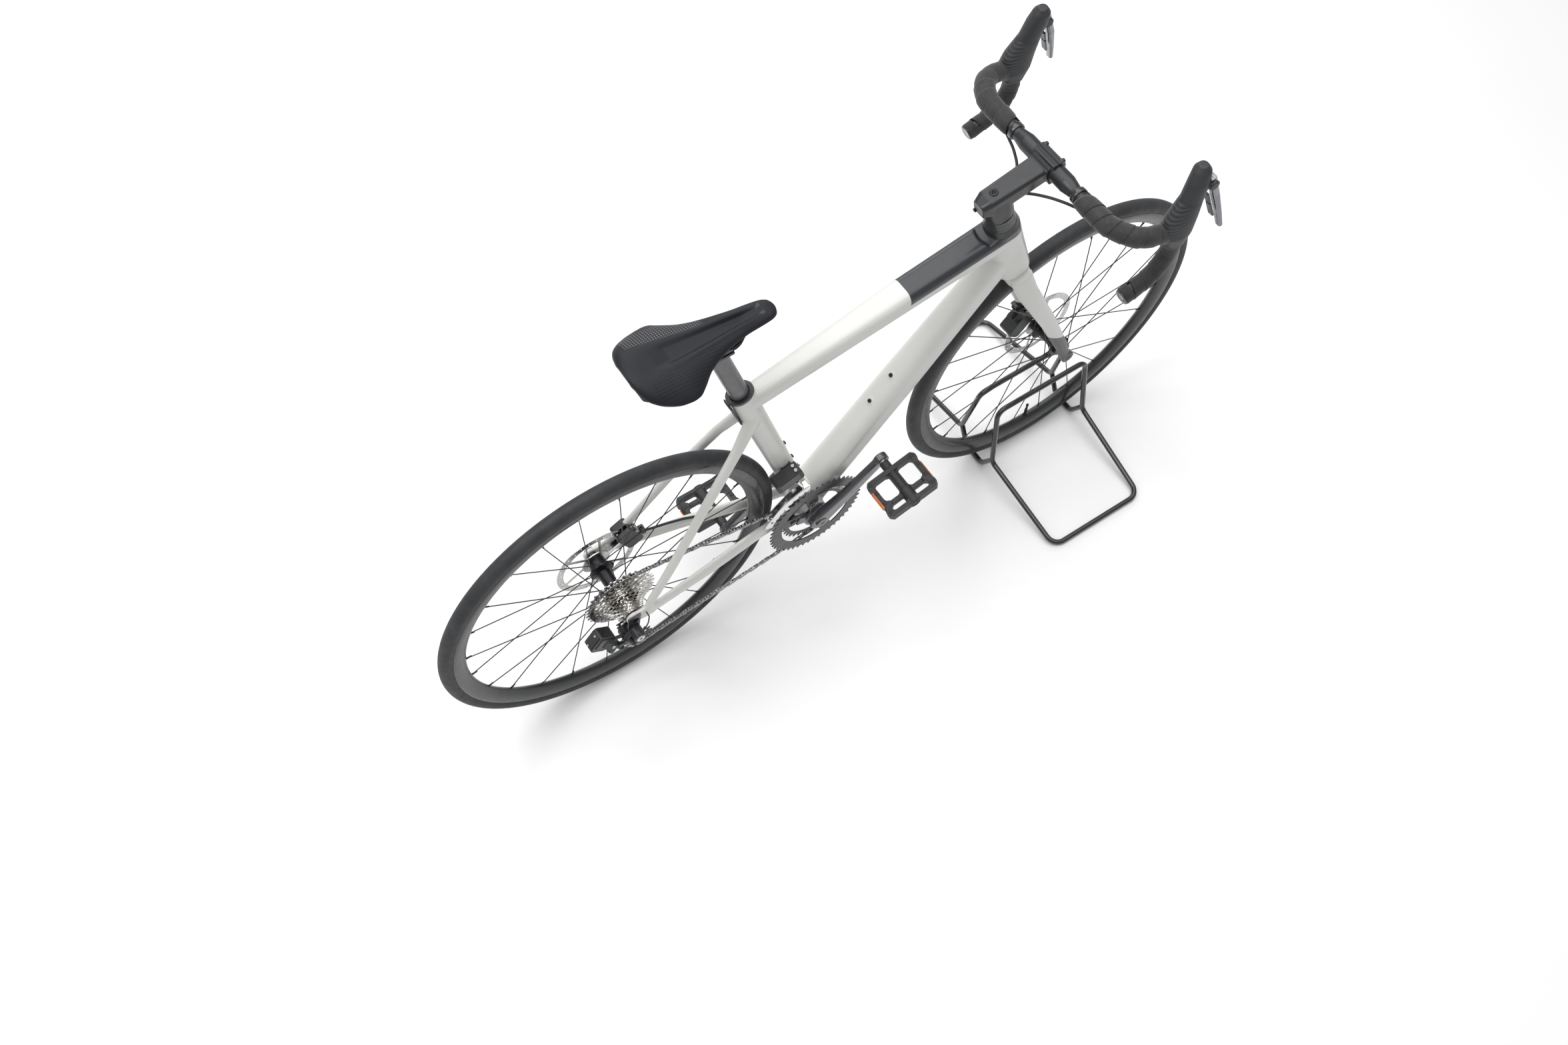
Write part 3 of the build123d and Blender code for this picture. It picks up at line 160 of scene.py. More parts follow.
def pale_paint(tree, place):
    """Off-white paint with a slow drift in its tone."""
    cloud = noise(tree, place, 5.0, 3.0)
    return mix_colour(tree, ramp(tree, cloud, 0.35, 0.65), (0.61, 0.61, 0.585, 1), (0.66, 0.66, 0.635, 1))


def finish_paint(tree, shader, place, tone, dark_part, rougher):
    """Paint's colour, gloss and clear coat: the dark part is a little rougher."""
    tree.links.new(tone, shader.inputs["Base Color"])
    gloss = ramp(tree, noise(tree, place, 40.0, 3.0), 0.3, 0.7, 0.30, 0.37)
    tree.links.new(math_node(tree, "MULTIPLY_ADD", dark_part, rougher, gloss), shader.inputs["Roughness"])
    shader.inputs["Coat Weight"].default_value = 0.35
    shader.inputs["Coat Roughness"].default_value = 0.12


def lacquer():
    """Pale frame paint, with the black panel that runs along the front of the top tube."""
    tube_slope, tube_rise, panel_start = 0.1798, 0.7355, 0.0930
    material, tree, shader, place = shade("frame_lacquer")
    axes = split(tree, place)
    flake = add(tree, "ShaderNodeTexVoronoi", {"Vector": place, "Scale": 2600.0}).outputs["Color"]
    pale = mix_colour(tree, 0.05, pale_paint(tree, place), flake, "OVERLAY")
    tube_line = math_node(tree, "MULTIPLY_ADD", axes["X"], tube_slope, tube_rise)
    height = math_node(tree, "SUBTRACT", axes["Z"], tube_line)
    along = ramp(tree, axes["X"], panel_start, panel_start + 0.0005)
    panel = times(tree, ramp(tree, height, 0.0095, 0.0100), along)
    line = times(tree, ramp(tree, height, 0.0068, 0.0073), along)
    tone = mix_colour(tree, line, pale, (0.52, 0.52, 0.52, 1))
    tone = mix_colour(tree, panel, tone, (0.020, 0.022, 0.027, 1))
    finish_paint(tree, shader, place, tone, panel, 0.12)
    return material


def fork_lacquer():
    """Pale blades that turn dark grey towards their tips."""
    material, tree, shader, place = shade("fork_lacquer")
    axes = split(tree, place)
    slope = math_node(tree, "MULTIPLY_ADD", axes["X"], 0.55, axes["Z"])
    tip = ramp(tree, slope, 0.6805, 0.6800)
    tone = mix_colour(tree, tip, pale_paint(tree, place), (0.055, 0.057, 0.062, 1))
    finish_paint(tree, shader, place, tone, tip, 0.14)
    return material


def saddle_cover():
    """Black cover, smooth down the middle, with dots on the flanks: dark on the right as painted shade, light
    on the left as painted highlight.
    """
    dots_per_metre = 1400.0
    material, tree, shader, place = shade("saddle_cover")
    axes = split(tree, place)
    side = math_node(tree, "ABSOLUTE", axes["Y"])
    middle = ramp(tree, axes["X"], -0.392, -0.290, 0.034, 0.018)
    inner = ramp(tree, math_node(tree, "SUBTRACT", side, middle), 0.000, 0.004)
    outer = ramp(tree, side, 0.066, 0.060)
    length = times(tree, ramp(tree, axes["X"], -0.402, -0.396), ramp(tree, axes["X"], -0.272, -0.282))
    flank = times(tree, times(tree, inner, outer), length)
    waves = [ramp(tree, math_node(tree, "SINE", times(tree, axes[axis], dots_per_metre)), -0.25, 0.30)
             for axis in ("X", "Y")]
    dot = times(tree, times(tree, waves[0], waves[1]), flank)
    cloud = noise(tree, place, 14.0, 4.0)
    tone = mix_colour(tree, ramp(tree, cloud, 0.3, 0.7), (0.009, 0.010, 0.013, 1), (0.014, 0.015, 0.019, 1))
    # Painted light: the dots take a lit copy of their colour on the left flank and a shaded copy on the
    # right.
    left = ramp(tree, axes["Y"], -0.01, 0.01)
    lit_and_shaded_dots = mix_colour(tree, left, (0.002, 0.002, 0.002, 1), (0.20, 0.20, 0.21, 1))
    tone = mix_colour(tree, times(tree, dot, 0.75), tone, lit_and_shaded_dots)
    tree.links.new(tone, shader.inputs["Base Color"])
    leather = noise(tree, place, 1500.0, 3.0)
    raise_surface(tree, shader, math_node(tree, "MULTIPLY_ADD", leather, 0.35, dot), 0.4, 0.0005)
    tree.links.new(ramp(tree, cloud, 0.3, 0.7, 0.46, 0.56), shader.inputs["Roughness"])
    shader.inputs["Specular IOR Level"].default_value = 0.26
    return material


def wrap_tape():
    """Suede-like black tape with a faint mottled sheen."""
    material = surface("bar_tape", (0.020, 0.020, 0.022), 0.72, vary=0.35, vary_scale=60.0, grain=0.5,
                       grain_scale=1400.0, rough_vary=0.10)
    shader = material.node_tree.nodes["Principled BSDF"]
    shader.inputs["Sheen Weight"].default_value = 0.25
    shader.inputs["Sheen Roughness"].default_value = 0.5
    return material


def hood_rubber():
    """Black rubber with raised ribs round the grip, their crests painted lighter as a painted highlight."""
    ribs_per_metre = 1150.0
    material, tree, shader, place = shade("hood_rubber")
    axes = split(tree, place)
    lean = math_node(tree, "MULTIPLY_ADD", axes["X"], -0.35, axes["Z"])
    wave = math_node(tree, "SINE", times(tree, lean, ribs_per_metre))
    band = times(tree, ramp(tree, axes["Z"], 0.886, 0.892), ramp(tree, axes["Z"], 0.962, 0.955))
    ribs = times(tree, ramp(tree, wave, 0.0, 0.5), band)
    cloud = noise(tree, place, 30.0, 3.0)
    tone = mix_colour(tree, ramp(tree, cloud, 0.3, 0.7), (0.022, 0.023, 0.026, 1), (0.034, 0.035, 0.039, 1))
    # Painted highlight: the raised ribs are painted lighter than the rubber around them.
    tone = mix_colour(tree, times(tree, ribs, 0.35), tone, (0.070, 0.071, 0.076, 1))
    tree.links.new(tone, shader.inputs["Base Color"])
    fine = noise(tree, place, 1900.0, 2.0)
    raise_surface(tree, shader, math_node(tree, "MULTIPLY_ADD", fine, 0.08, ribs), 0.7, 0.0011)
    tree.links.new(ramp(tree, cloud, 0.3, 0.7, 0.46, 0.58), shader.inputs["Roughness"])
    return material


def reflector_plastic():
    """Clear orange plastic over small facets, each painted bright in its middle and dark towards its edges as
    painted shading.
    """
    material, tree, shader, place = shade("reflector")
    cells = add(tree, "ShaderNodeTexVoronoi", {"Vector": place, "Scale": 420.0, "Randomness": 0.1})
    facets = cells.outputs["Distance"]
    # Painted shading: each facet is painted bright orange in its middle and darker towards its edges.
    tone = mix_colour(tree, ramp(tree, facets, 0.1, 0.6), (0.95, 0.30, 0.02, 1), (0.55, 0.12, 0.01, 1))
    tree.links.new(tone, shader.inputs["Base Color"])
    raise_surface(tree, shader, facets, 0.6, 0.0006)
    shader.inputs["Roughness"].default_value = 0.15
    shader.inputs["Coat Weight"].default_value = 0.8
    return material


paint = lacquer()
fork_paint = fork_lacquer()
cover = saddle_cover()
tape = wrap_tape()
reflector = reflector_plastic()
black_satin = surface("black_satin", (0.016, 0.017, 0.019), 0.40, coat=0.15, edge_highlight=0.30, grain=0.08)
black_gloss = surface("black_gloss", (0.018, 0.018, 0.020), 0.20, coat=0.6, edge_highlight=0.2)
black_anodised = surface("black_anodised", (0.030, 0.030, 0.034), 0.34, metal=0.75, edge_highlight=0.35, grain=0.06)
crank_finish = surface("crank_finish", (0.085, 0.087, 0.094), 0.26, metal=0.55, coat=0.6, edge_highlight=0.35)
ring_finish = surface("ring_finish", (0.060, 0.060, 0.064), 0.36, metal=0.7, edge_highlight=0.4, grain=0.05)
blade_grey = surface("blade_grey", (0.20, 0.205, 0.22), 0.25, metal=0.85, coat=0.3, edge_highlight=0.3)
moulded = surface("moulded_plastic", (0.022, 0.022, 0.024), 0.50, grain=0.35, grain_scale=2200.0, edge_highlight=0.15)
rubber = hood_rubber()
tyre_rubber = surface("tyre_rubber", (0.032, 0.033, 0.036), 0.60, grain=0.35, grain_scale=1100.0, vary=0.25,
                      vary_scale=26.0, specular=0.4)
rim_black = surface("rim_black", (0.016, 0.017, 0.019), 0.30, coat=0.25, edge_highlight=0.2)
spoke_black = surface("spoke_black", (0.045, 0.045, 0.048), 0.35, metal=0.8)
steel = surface("ground_steel", (0.62, 0.62, 0.61), 0.28, metal=1.0, vary=0.12, vary_scale=70.0,
                stretch=(1, 14, 1), grain=0.10)
plated = surface("plated_steel", (0.60, 0.585, 0.56), 0.24, metal=1.0, vary=0.18, vary_scale=120.0)
chain_steel = surface("chain_steel", (0.25, 0.25, 0.25), 0.26, metal=1.0, vary=0.80, vary_scale=230.0)
chrome = surface("cage_chrome", (0.78, 0.78, 0.78), 0.12, metal=1.0, vary=0.05)
carbon = surface("post_carbon", (0.085, 0.087, 0.092), 0.36, coat=0.2, vary=0.2, vary_scale=35.0)
stand_coat = surface("stand_coat", (0.016, 0.016, 0.018), 0.24, coat=0.45, edge_highlight=0.25, grain=0.10,
                     grain_scale=500.0)
dark_hole = surface("socket_dark", (0.010, 0.010, 0.011), 0.6)


# ---- mesh building ----
def piece(name, verts, faces, material, body, slot, smooth=True):
    """New object from its vertices in metres: closed, with outward normals, riding on a body."""
    mesh = bpy.data.meshes.new(name)
    mesh.from_pydata([tuple(v) for v in verts], [], faces)
    work = bmesh.new()
    work.from_mesh(mesh)
    bmesh.ops.recalc_face_normals(work, faces=work.faces)
    work.to_mesh(mesh)
    work.free()
    return ride_on(name, mesh, material, body, smooth)


def ride_on(name, mesh, material, body, smooth=True):
    """Object for a mesh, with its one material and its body."""
    for polygon in mesh.polygons:
        polygon.use_smooth = smooth
    mesh.materials.clear()
    mesh.materials.append(material)
    made = bpy.data.objects.new(name, mesh)
    scene.collection.objects.link(made)
    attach(made, body)
    return made


def merged(parts):
    """Several (vertices, faces) lists as one."""
    verts, faces = [], []
    for part_verts, part_faces in parts:
        base = len(verts)
        verts += [tuple(v) for v in part_verts]
        faces += [tuple(i + base for i in face) for face in part_faces]
    return verts, faces


def grid_faces(rows, columns, wrap_rows, wrap_columns):
    """Quads over a grid of vertices, each row a run of columns, joined end to end where it wraps."""
    faces = []
    for row in range(rows if wrap_rows else rows - 1):
        here, after = row * columns, (row + 1) % rows * columns
        for step in range(columns if wrap_columns else columns - 1):
            nxt = (step + 1) % columns
            faces.append((here + step, here + nxt, after + nxt, after + step))
    return faces


def capped_faces(rows, columns):
    """Quads round a stack of closed rings, with the first and last ring filled in."""
    first = tuple(range(columns))
    last = tuple((rows - 1) * columns + step for step in reversed(range(columns)))
    return grid_faces(rows, columns, False, True) + [first, last]


def lathe(profile, centre, axis=(0, 1, 0), segments=96, closed=True):
    """Turned shape from (radius, distance along the axis) points in millimetres."""
    axis = Vector(axis).normalized()
    side = axis.orthogonal().normalized()
    other = axis.cross(side)
    centre = Vector(centre)
    count = len(profile)
    verts = []
    for step in range(segments):
        angle = 2 * math.pi * step / segments
        out = side * math.cos(angle) + other * math.sin(angle)
        verts += [centre + out * (radius / 1000) + axis * (along / 1000) for radius, along in profile]
    faces = grid_faces(segments, count, True, closed)
    if not closed:
        faces.append(tuple(step * count for step in range(segments)))
        faces.append(tuple(step * count + count - 1 for step in reversed(range(segments))))
    return verts, faces


def rounded_path(points, radii, step):
    """Points every step along straight runs joined by tangent arcs, in millimetres, and the whole length."""
    points = [np.array(p, float) for p in points]
    path = [points[0]]
    for index in range(1, len(points) - 1):
        before, here, after = points[index - 1:index + 2]
        back = (before - here) / np.linalg.norm(before - here)
        ahead = (after - here) / np.linalg.norm(after - here)
        half = math.acos(float(np.clip(back @ ahead, -1, 1))) / 2
        radius = radii[index - 1]
        centre = here + (back + ahead) / np.linalg.norm(back + ahead) * radius / math.sin(half)
        start = here + back * radius / math.tan(half) - centre
        end = here + ahead * radius / math.tan(half) - centre
        turn = math.pi - 2 * half
        for part in range(13):
            share = part / 12
            blend = (math.sin((1 - share) * turn) * start + math.sin(share * turn) * end) / math.sin(turn)
            path.append(centre + blend)
    path.append(points[-1])
    lengths = np.concatenate([[0], np.cumsum([np.linalg.norm(b - a) for a, b in zip(path, path[1:])])])
    wanted = np.arange(0, lengths[-1], step)
    even = [[np.interp(w, lengths, [p[k] for p in path]) for k in range(3)] for w in wanted]
    return np.array(even), lengths[-1]


def across_path(path):
    """Two unit vectors across each point of a path that don't twist along it."""
    heading = np.gradient(path, axis=0)
    heading /= np.linalg.norm(heading, axis=1)[:, None]
    side = np.cross(heading[0], [0.0, 0.0, 1.0])
    sides = []
    for direction in heading:
        side = side - direction * (side @ direction)
        side /= np.linalg.norm(side)
        sides.append(side)
    sides = np.array(sides)
    return sides, np.cross(heading, sides)


def wrapped_tape(side):
    """Tape wound round the bar in overlapping turns, as one closed ribbon, and the path it follows."""
    pitch, per_turn, spacing = 23.0, 48, 1.0
    path, length = rounded_path(BAR_ROUTE, BAR_BENDS, spacing)
    across, upward = across_path(path)
    outline = [(0.0, 12.3), (0.10, 13.2), (0.30, 14.3), (0.7, 14.75), (1.0, 14.95), (1.20, 15.25),
               (1.245, 15.1), (1.25, 14.6), (1.20, 14.1), (0.9, 13.6), (0.3, 12.4)]
    count = int((length - 1.3 * pitch) / pitch * per_turn)
    verts = []
    for index in range(count + 1):
        angle = 2 * math.pi * index / per_turn
        for share, radius in outline:
            place = np.clip(index / per_turn * pitch + share * pitch, 0, len(path) - 1.001)
            low = int(place)
            part = place - low
            gone = place / len(path)
            centre = path[low] * (1 - part) + path[low + 1] * part
            out = across[low] * math.cos(angle) + upward[low] * math.sin(angle)
            flattened = np.interp(gone, (0, 0.5, 0.62, 1), (1.17, 1.13, 1.0, 1.0))
            out = out * np.array([flattened, 1, 1])
            ripple = 0.10 * math.sin(angle * 3.1 + share * 2.0) + 0.06 * math.sin(angle * 7.3)
            swollen = radius * np.interp(gone, (0, 0.06, 0.42, 0.60, 1), (1.06, 1.11, 1.13, 1.04, 1.02))
            point = (centre + out * (swollen + ripple - 0.1)) / 1000
            verts.append((point[0], point[1] * side, point[2]))
    return verts, capped_faces(count + 1, len(outline)), path


def sleeve_on_path(path, start, end, profile, side, sides=40):
    """Closed ring along a path, from (share of its length, radius) points."""
    across, upward = across_path(path)
    verts = []
    for share, radius in profile:
        place = min(max(start + (end - start) * share, 0), len(path) - 1.001)
        low = int(place)
        for step in range(sides):
            angle = 2 * math.pi * step / sides
            out = across[low] * math.cos(angle) + upward[low] * math.sin(angle)
            point = (path[low] + (path[low + 1] - path[low]) * (place - low) + out * radius) / 1000
            verts.append((point[0], point[1] * side, point[2]))
    return verts, grid_faces(len(profile), sides, True, True)


def remeshed(node, name, voxel, passes, material, body, swell=0.0):
    """Moulded version of a CAD node: remade as one skin with its edges and joints eased."""
    shrink, regrow = 0.6, -0.61
    source = bpy.data.objects.new(name + "_source", nodes[node].data.copy())
    scene.collection.objects.link(source)
    modifier = source.modifiers.new("skin", "REMESH")
    modifier.mode = "VOXEL"
    modifier.voxel_size = voxel
    skin = bpy.data.meshes.new_from_object(source.evaluated_get(bpy.context.evaluated_depsgraph_get()))
    bpy.data.objects.remove(source)
    count = len(skin.vertices)
    place = np.zeros(count * 3)
    skin.vertices.foreach_get("co", place)
    place = place.reshape(-1, 3)
    pairs = np.zeros(len(skin.edges) * 2, int)
    skin.edges.foreach_get("vertices", pairs)
    pairs = pairs.reshape(-1, 2)
    degree = np.bincount(pairs.ravel(), minlength=count)[:, None]
    for turn in range(passes * 2):
        total = np.zeros_like(place)
        for axis in range(3):
            total[:, axis] = (np.bincount(pairs[:, 0], place[pairs[:, 1], axis], count)
                              + np.bincount(pairs[:, 1], place[pairs[:, 0], axis], count))
        pull = total / np.maximum(degree, 1) - place
        place = place + pull * (shrink if turn % 2 == 0 else regrow)
    skin.vertices.foreach_set("co", place.ravel())
    skin.update()
    if swell:
        normals = np.zeros(count * 3)
        skin.vertices.foreach_get("normal", normals)
        place = place + normals.reshape(-1, 3) * swell
        skin.vertices.foreach_set("co", place.ravel())
    made = ride_on(name, skin, material, body)
    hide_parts(node)


def bolt_head(centre, axis, radius, height, socket=0.5):
    """Domed bolt head with a hexagonal socket, in millimetres about a centre in metres."""
    axis = Vector(axis).normalized()
    side = axis.orthogonal().normalized()
    other = axis.cross(side)
    hole = radius * socket
    rings = [(radius, 0), (radius, height * 0.55), (radius * 0.93, height * 0.85), (radius * 0.8, height),
             (hole * 1.05, height), (hole, height * 0.9), (hole, height * 0.35)]
    first_socket_ring, sides = 4, 24
    verts = []
    for number, (ring, along) in enumerate(rings):
        for step in range(sides):
            angle = 2 * math.pi * step / sides
            reach = ring
            if number >= first_socket_ring:
                reach = ring * math.cos(math.pi / 6) / math.cos((angle % (math.pi / 3)) - math.pi / 6)
            out = side * math.cos(angle) + other * math.sin(angle)
            verts.append(Vector(centre) + out * reach / 1000 + axis * along / 1000)
    return verts, capped_faces(len(rings), sides)


def bolts(name, places, material, body, slot):
    """Bolt heads as one piece: each place is (centre, axis, radius, height)."""
    piece(name, *merged([bolt_head(*place) for place in places]), material, body, slot)


def slab(centre, along, up, size, bevel):
    """Box with every edge cut back, from its centre in metres and its size in millimetres."""
    along, up = Vector(along).normalized(), Vector(up).normalized()
    across = up.cross(along)
    half = [value / 2000 for value in size]
    cut = bevel / 1000
    verts = []
    for level, inset in ((-half[2], cut), (-half[2] + cut, 0), (half[2] - cut, 0), (half[2], cut)):
        x, y = half[0] - inset, half[1] - inset
        corners = ((x, y - cut), (x - cut, y), (-x + cut, y), (-x, y - cut),
                   (-x, -y + cut), (-x + cut, -y), (x - cut, -y), (x, -y + cut))
        verts += [Vector(centre) + along * a + across * b + up * level for a, b in corners]
    return verts, capped_faces(4, 8)


def short_rod(start, end, radius):
    """Round rod between two points in metres, with its ends chamfered."""
    start, end = Vector(start), Vector(end)
    length = (end - start).length * 1000
    return lathe([(0.01, 0), (radius - 0.4, 0), (radius, 0.4), (radius, length - 0.4), (radius - 0.4, length),
                  (0.01, length)], start, end - start, 24, closed=False)


def landing(node, start, heading):
    """Where a line from start first meets a CAD node, and the surface normal there."""
    mesh = nodes[node].data
    tree = BVHTree.FromPolygons([v.co for v in mesh.vertices], [p.vertices for p in mesh.polygons])
    place, normal, _, _ = tree.ray_cast(Vector(start), Vector(heading).normalized())
    return place, normal


def tilted(degrees):
    """Unit vectors in the side plane: along a line that falls forward by an angle, and upward across it."""
    angle = math.radians(degrees)
    return Vector((math.cos(angle), 0, -math.sin(angle))), Vector((math.sin(angle), 0, math.cos(angle)))


# ---- camera, floor and light ----
camera_data = bpy.data.cameras.new("camera")
camera_data.sensor_width = 36.0
camera_data.lens = 35.353
camera_data.clip_end = 50.0
camera = bpy.data.objects.new("camera", camera_data)
scene.collection.objects.link(camera)
camera.matrix_world = Matrix((
    (0.829893, 0.481155, -0.282431, -0.9601),
    (-0.557427, 0.736393, -0.383406, -1.1358),
    (0.023503, 0.475621, 0.879336, 2.8007),
    (0, 0, 0, 1)))
scene.camera = camera

FLOOR_REACH, FLOOR_HEIGHT = 7, -0.0006
floor_verts = [(x * FLOOR_REACH, y * FLOOR_REACH, FLOOR_HEIGHT)
               for x, y in ((-1, -1), (1, -1), (1, 1), (-1, 1))]
floor_mesh = bpy.data.meshes.new("floor")
floor_mesh.from_pydata(floor_verts, [], [(0, 1, 2, 3)])
floor_mesh.materials.append(surface("floor_sheet", (0.93, 0.93, 0.93), 0.45, vary=0.008, vary_scale=1.5,
                                    rough_vary=0.04))
floor = bpy.data.objects.new("floor", floor_mesh)
scene.collection.objects.link(floor)

WORLD_STRENGTH = 0.42
LIGHT_TARGET = Vector((0, 0, 0.4))
LIGHTS = (("top", (0.3, 0.4, 4.6), 5.0, 175), ("key", (-2.2, 0.6, 3.4), 1.6, 40),
          ("back", (1.2, 2.8, 2.2), 1.6, 22))
world = bpy.data.worlds.new("studio")
scene.world = world
world.use_nodes = True
world.node_tree.nodes["Background"].inputs["Color"].default_value = (1.0, 1.0, 1.0, 1)
world.node_tree.nodes["Background"].inputs["Strength"].default_value = WORLD_STRENGTH
for name, place, size, power in LIGHTS:
    light_data = bpy.data.lights.new(name, "AREA")
    light_data.shape = "SQUARE"
    light_data.size = size
    light_data.energy = power
    light = bpy.data.objects.new(name, light_data)
    light.location = place
    light.rotation_euler = (LIGHT_TARGET - Vector(place)).to_track_quat("-Z", "Y").to_euler()
    scene.collection.objects.link(light)
scene.view_settings.view_transform = "Standard"

# ---- a finish for every CAD node ----
finishes = {
    "stand_hoop_right": stand_coat, "stand_hoop_left": stand_coat, "stand_crossbars": stand_coat,
    "headset": black_satin, "stem_faceplate": black_anodised, "handlebar": black_satin,
    "cockpit_hoses": moulded, "front_caliper": black_anodised, "front_thru_axle": black_anodised,
    "front_hub": black_anodised, "front_spokes": spoke_black, "front_rotor": steel,
    "bottom_bracket_bearings": black_anodised, "seat_clamp": black_satin,
    "derailleur_hanger": black_anodised, "rear_caliper": black_anodised, "rear_brake_hose": moulded,
    "derailleur_wire": moulded, "rear_thru_axle": black_anodised, "front_derailleur": moulded,
    "front_derailleur_cage": chrome, "seatpost": carbon, "saddle_clamp": black_anodised,
    "saddle_rails": spoke_black, "saddle_base": moulded, "rear_hub": black_anodised,
    "rear_spokes": spoke_black, "rear_rotor": steel, "cassette": plated, "chainrings": ring_finish,
    "pedal_spindles": steel, "pedal_right": moulded, "pedal_left": moulded, "derailleur_body": black_satin,
    "derailleur_link": black_satin, "derailleur_cage": black_satin, "guide_pulley": moulded,
    "tension_pulley": moulded, "chain": chain_steel, "upper_paddle_right": black_satin,
    "lower_paddle_right": black_satin, "upper_paddle_left": black_satin, "lower_paddle_left": black_satin,
    "stem": black_satin, "fork": fork_paint, "frame": paint, "saddle_pad": cover,
    "crank_arm_right": crank_finish, "crank_arm_left": crank_finish, "bar_tape_right": tape,
    "bar_tape_left": tape, "hood_right": rubber, "hood_left": rubber, "brake_lever_right": blade_grey,
    "brake_lever_left": blade_grey, "front_rim": rim_black, "rear_rim": rim_black,
    "front_tyre": tyre_rubber, "rear_tyre": tyre_rubber, "derailleur_knuckle": black_satin,
}
for node, finish in finishes.items():
    nodes[node].data.materials.clear()
    nodes[node].data.materials.append(finish)

# ---- frame, fork and other moulded shapes ----
remeshed("frame", "frame_shell", 0.0026, 7, paint, "frame")
remeshed("fork", "fork_shell", 0.0022, 6, fork_paint, "fork")
remeshed("stem", "stem_shell", 0.0014, 4, black_satin, "fork")
remeshed("crank_arm_right", "crank_right_forging", 0.0014, 5, crank_finish, "crank")
remeshed("crank_arm_left", "crank_left_forging", 0.0014, 5, crank_finish, "crank")
remeshed("derailleur_knuckle", "knuckle_shell", 0.0010, 4, black_satin, "derailleur_knuckle")
remeshed("derailleur_body", "derailleur_body_shell", 0.0008, 4, black_satin, "frame",
         swell=0.0010)
remeshed("derailleur_link", "derailleur_link_shell", 0.0008, 4, black_satin, "derailleur_link")
remeshed("front_derailleur", "front_derailleur_shell", 0.0009, 7, moulded, "frame")
remeshed("front_caliper", "front_caliper_casting", 0.0009, 5, black_satin, "fork")
remeshed("rear_caliper", "rear_caliper_casting", 0.0009, 5, black_satin, "frame")
remeshed("seat_clamp", "seat_clamp_shell", 0.0010, 5, black_satin, "frame")
remeshed("stem_faceplate", "faceplate_forging", 0.0009, 4, black_satin, "fork")
for side in ("right", "left"):
    remeshed(f"pedal_{side}", f"pedal_{side}_moulding", 0.0010, 4, moulded, f"pedal_{side}")
    remeshed(f"hood_{side}", f"hood_{side}_skin", 0.0015, 9, rubber, "fork")
    remeshed(f"brake_lever_{side}", f"blade_{side}", 0.0010, 5, blade_grey, f"brake_lever_{side}")

# ---- bar tape, bands and plugs ----
BAND_PROFILE = [(0, 12.2), (0, 14.9), (0.2, 15.2), (0.8, 15.3), (1, 15.0), (1, 12.2)]
TAPE_END_PROFILE = [(0, 12.2), (0, 14.3), (0.2, 14.6), (0.92, 14.5), (1, 13.9), (1, 12.2)]
PLUG_PROFILE = [(0.01, -3), (12.0, -3), (12.0, 0.2), (13.7, 0.4), (13.9, 1.2), (13.2, 2.2), (11.0, 2.9),
                (9.0, 2.6), (0.01, 2.4)]
for side, sign in (("right", -1), ("left", 1)):
    verts, faces, path = wrapped_tape(sign)
    wound = piece(f"tape_{side}", verts, faces, tape, "fork", "tape")
    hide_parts(f"bar_tape_{side}")
    band = sleeve_on_path(path, 0, 9, BAND_PROFILE, sign)
    piece(f"finishing_band_{side}", *band, black_gloss, "fork", "black_moulding")
    end = len(path) - 1
    last = sleeve_on_path(path, end - 16, end, TAPE_END_PROFILE, sign)
    piece(f"tape_end_{side}", *last, tape, "fork", "tape")
    outward = path[-1] - path[-4]
    outward = Vector((outward[0], outward[1] * sign, outward[2])).normalized()
    tip = Vector((path[-1][0], path[-1][1] * sign, path[-1][2])) / 1000
    plug = lathe(PLUG_PROFILE, tip, outward, 40, closed=False)
    piece(f"bar_plug_{side}", *plug, black_gloss, "fork", "black_moulding")


# ---- front derailleur cage ----
def sector_plate(low, high, start, end, first, last):
    """Flat plate along part of a ring round the bottom bracket, in millimetres and degrees."""
    parts = 24
    verts = []
    for share in np.linspace(0, 1, parts):
        angle = math.radians(start + (end - start) * share)
        for radius, y in ((low, first), (high, first), (high, last), (low, last)):
            verts.append((BRACKET.x + radius * math.cos(angle) / 1000, y / 1000,
                          BRACKET.z + radius * math.sin(angle) / 1000))
    return verts, capped_faces(parts, 4)


guides = merged([
    sector_plate(106.0, 123.0, 98.0, 157.0, -46.4, -45.0),
    sector_plate(91.0, 123.0, 99.0, 149.0, -35.0, -33.6),
    sector_plate(121.0, 124.5, 99.0, 118.0, -46.4, -33.6),
    short_rod(BRACKET + Vector((-0.098, -0.0464, 0.060)), BRACKET + Vector((-0.098, -0.0336, 0.060)), 3.0),
    short_rod(BRACKET + Vector((-0.028, -0.041, 0.1195)), (-0.129, -0.040, 0.418), 4.0)])
guides = piece("front_derailleur_guides", *guides, chrome, "front_derailleur_cage", "grey_alloy",
               smooth=False)
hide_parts("front_derailleur_cage")

# ---- saddle: x, crown height, half width and depth of each station, in millimetres ----
SADDLE_STATIONS = np.array([
    (-424.0, 952.0, 22.0, 16.0), (-420.0, 954.0, 39.0, 26.0), (-412.0, 954.5, 53.0, 34.0),
    (-398.0, 952.5, 64.0, 38.0), (-382.0, 950.0, 71.0, 36.0), (-366.0, 947.5, 75.5, 34.0),
    (-350.0, 945.5, 77.5, 32.0), (-337.0, 944.0, 75.0, 30.5), (-324.0, 942.5, 65.0, 28.5),
    (-306.0, 941.0, 50.0, 26.0), (-285.0, 939.5, 40.0, 25.0), (-258.0, 938.0, 31.5, 24.0),
    (-225.0, 935.5, 25.0, 23.0), (-195.0, 932.5, 22.5, 21.5), (-176.0, 930.0, 20.0, 19.5),
    (-167.0, 927.5, 15.5, 16.0), (-163.0, 925.0, 10.0, 11.0), (-161.5, 922.5, 5.0, 6.0)])
LOWEST_PADDING = 915.8
SHELL_ENDS = (-417.0, -182.0)


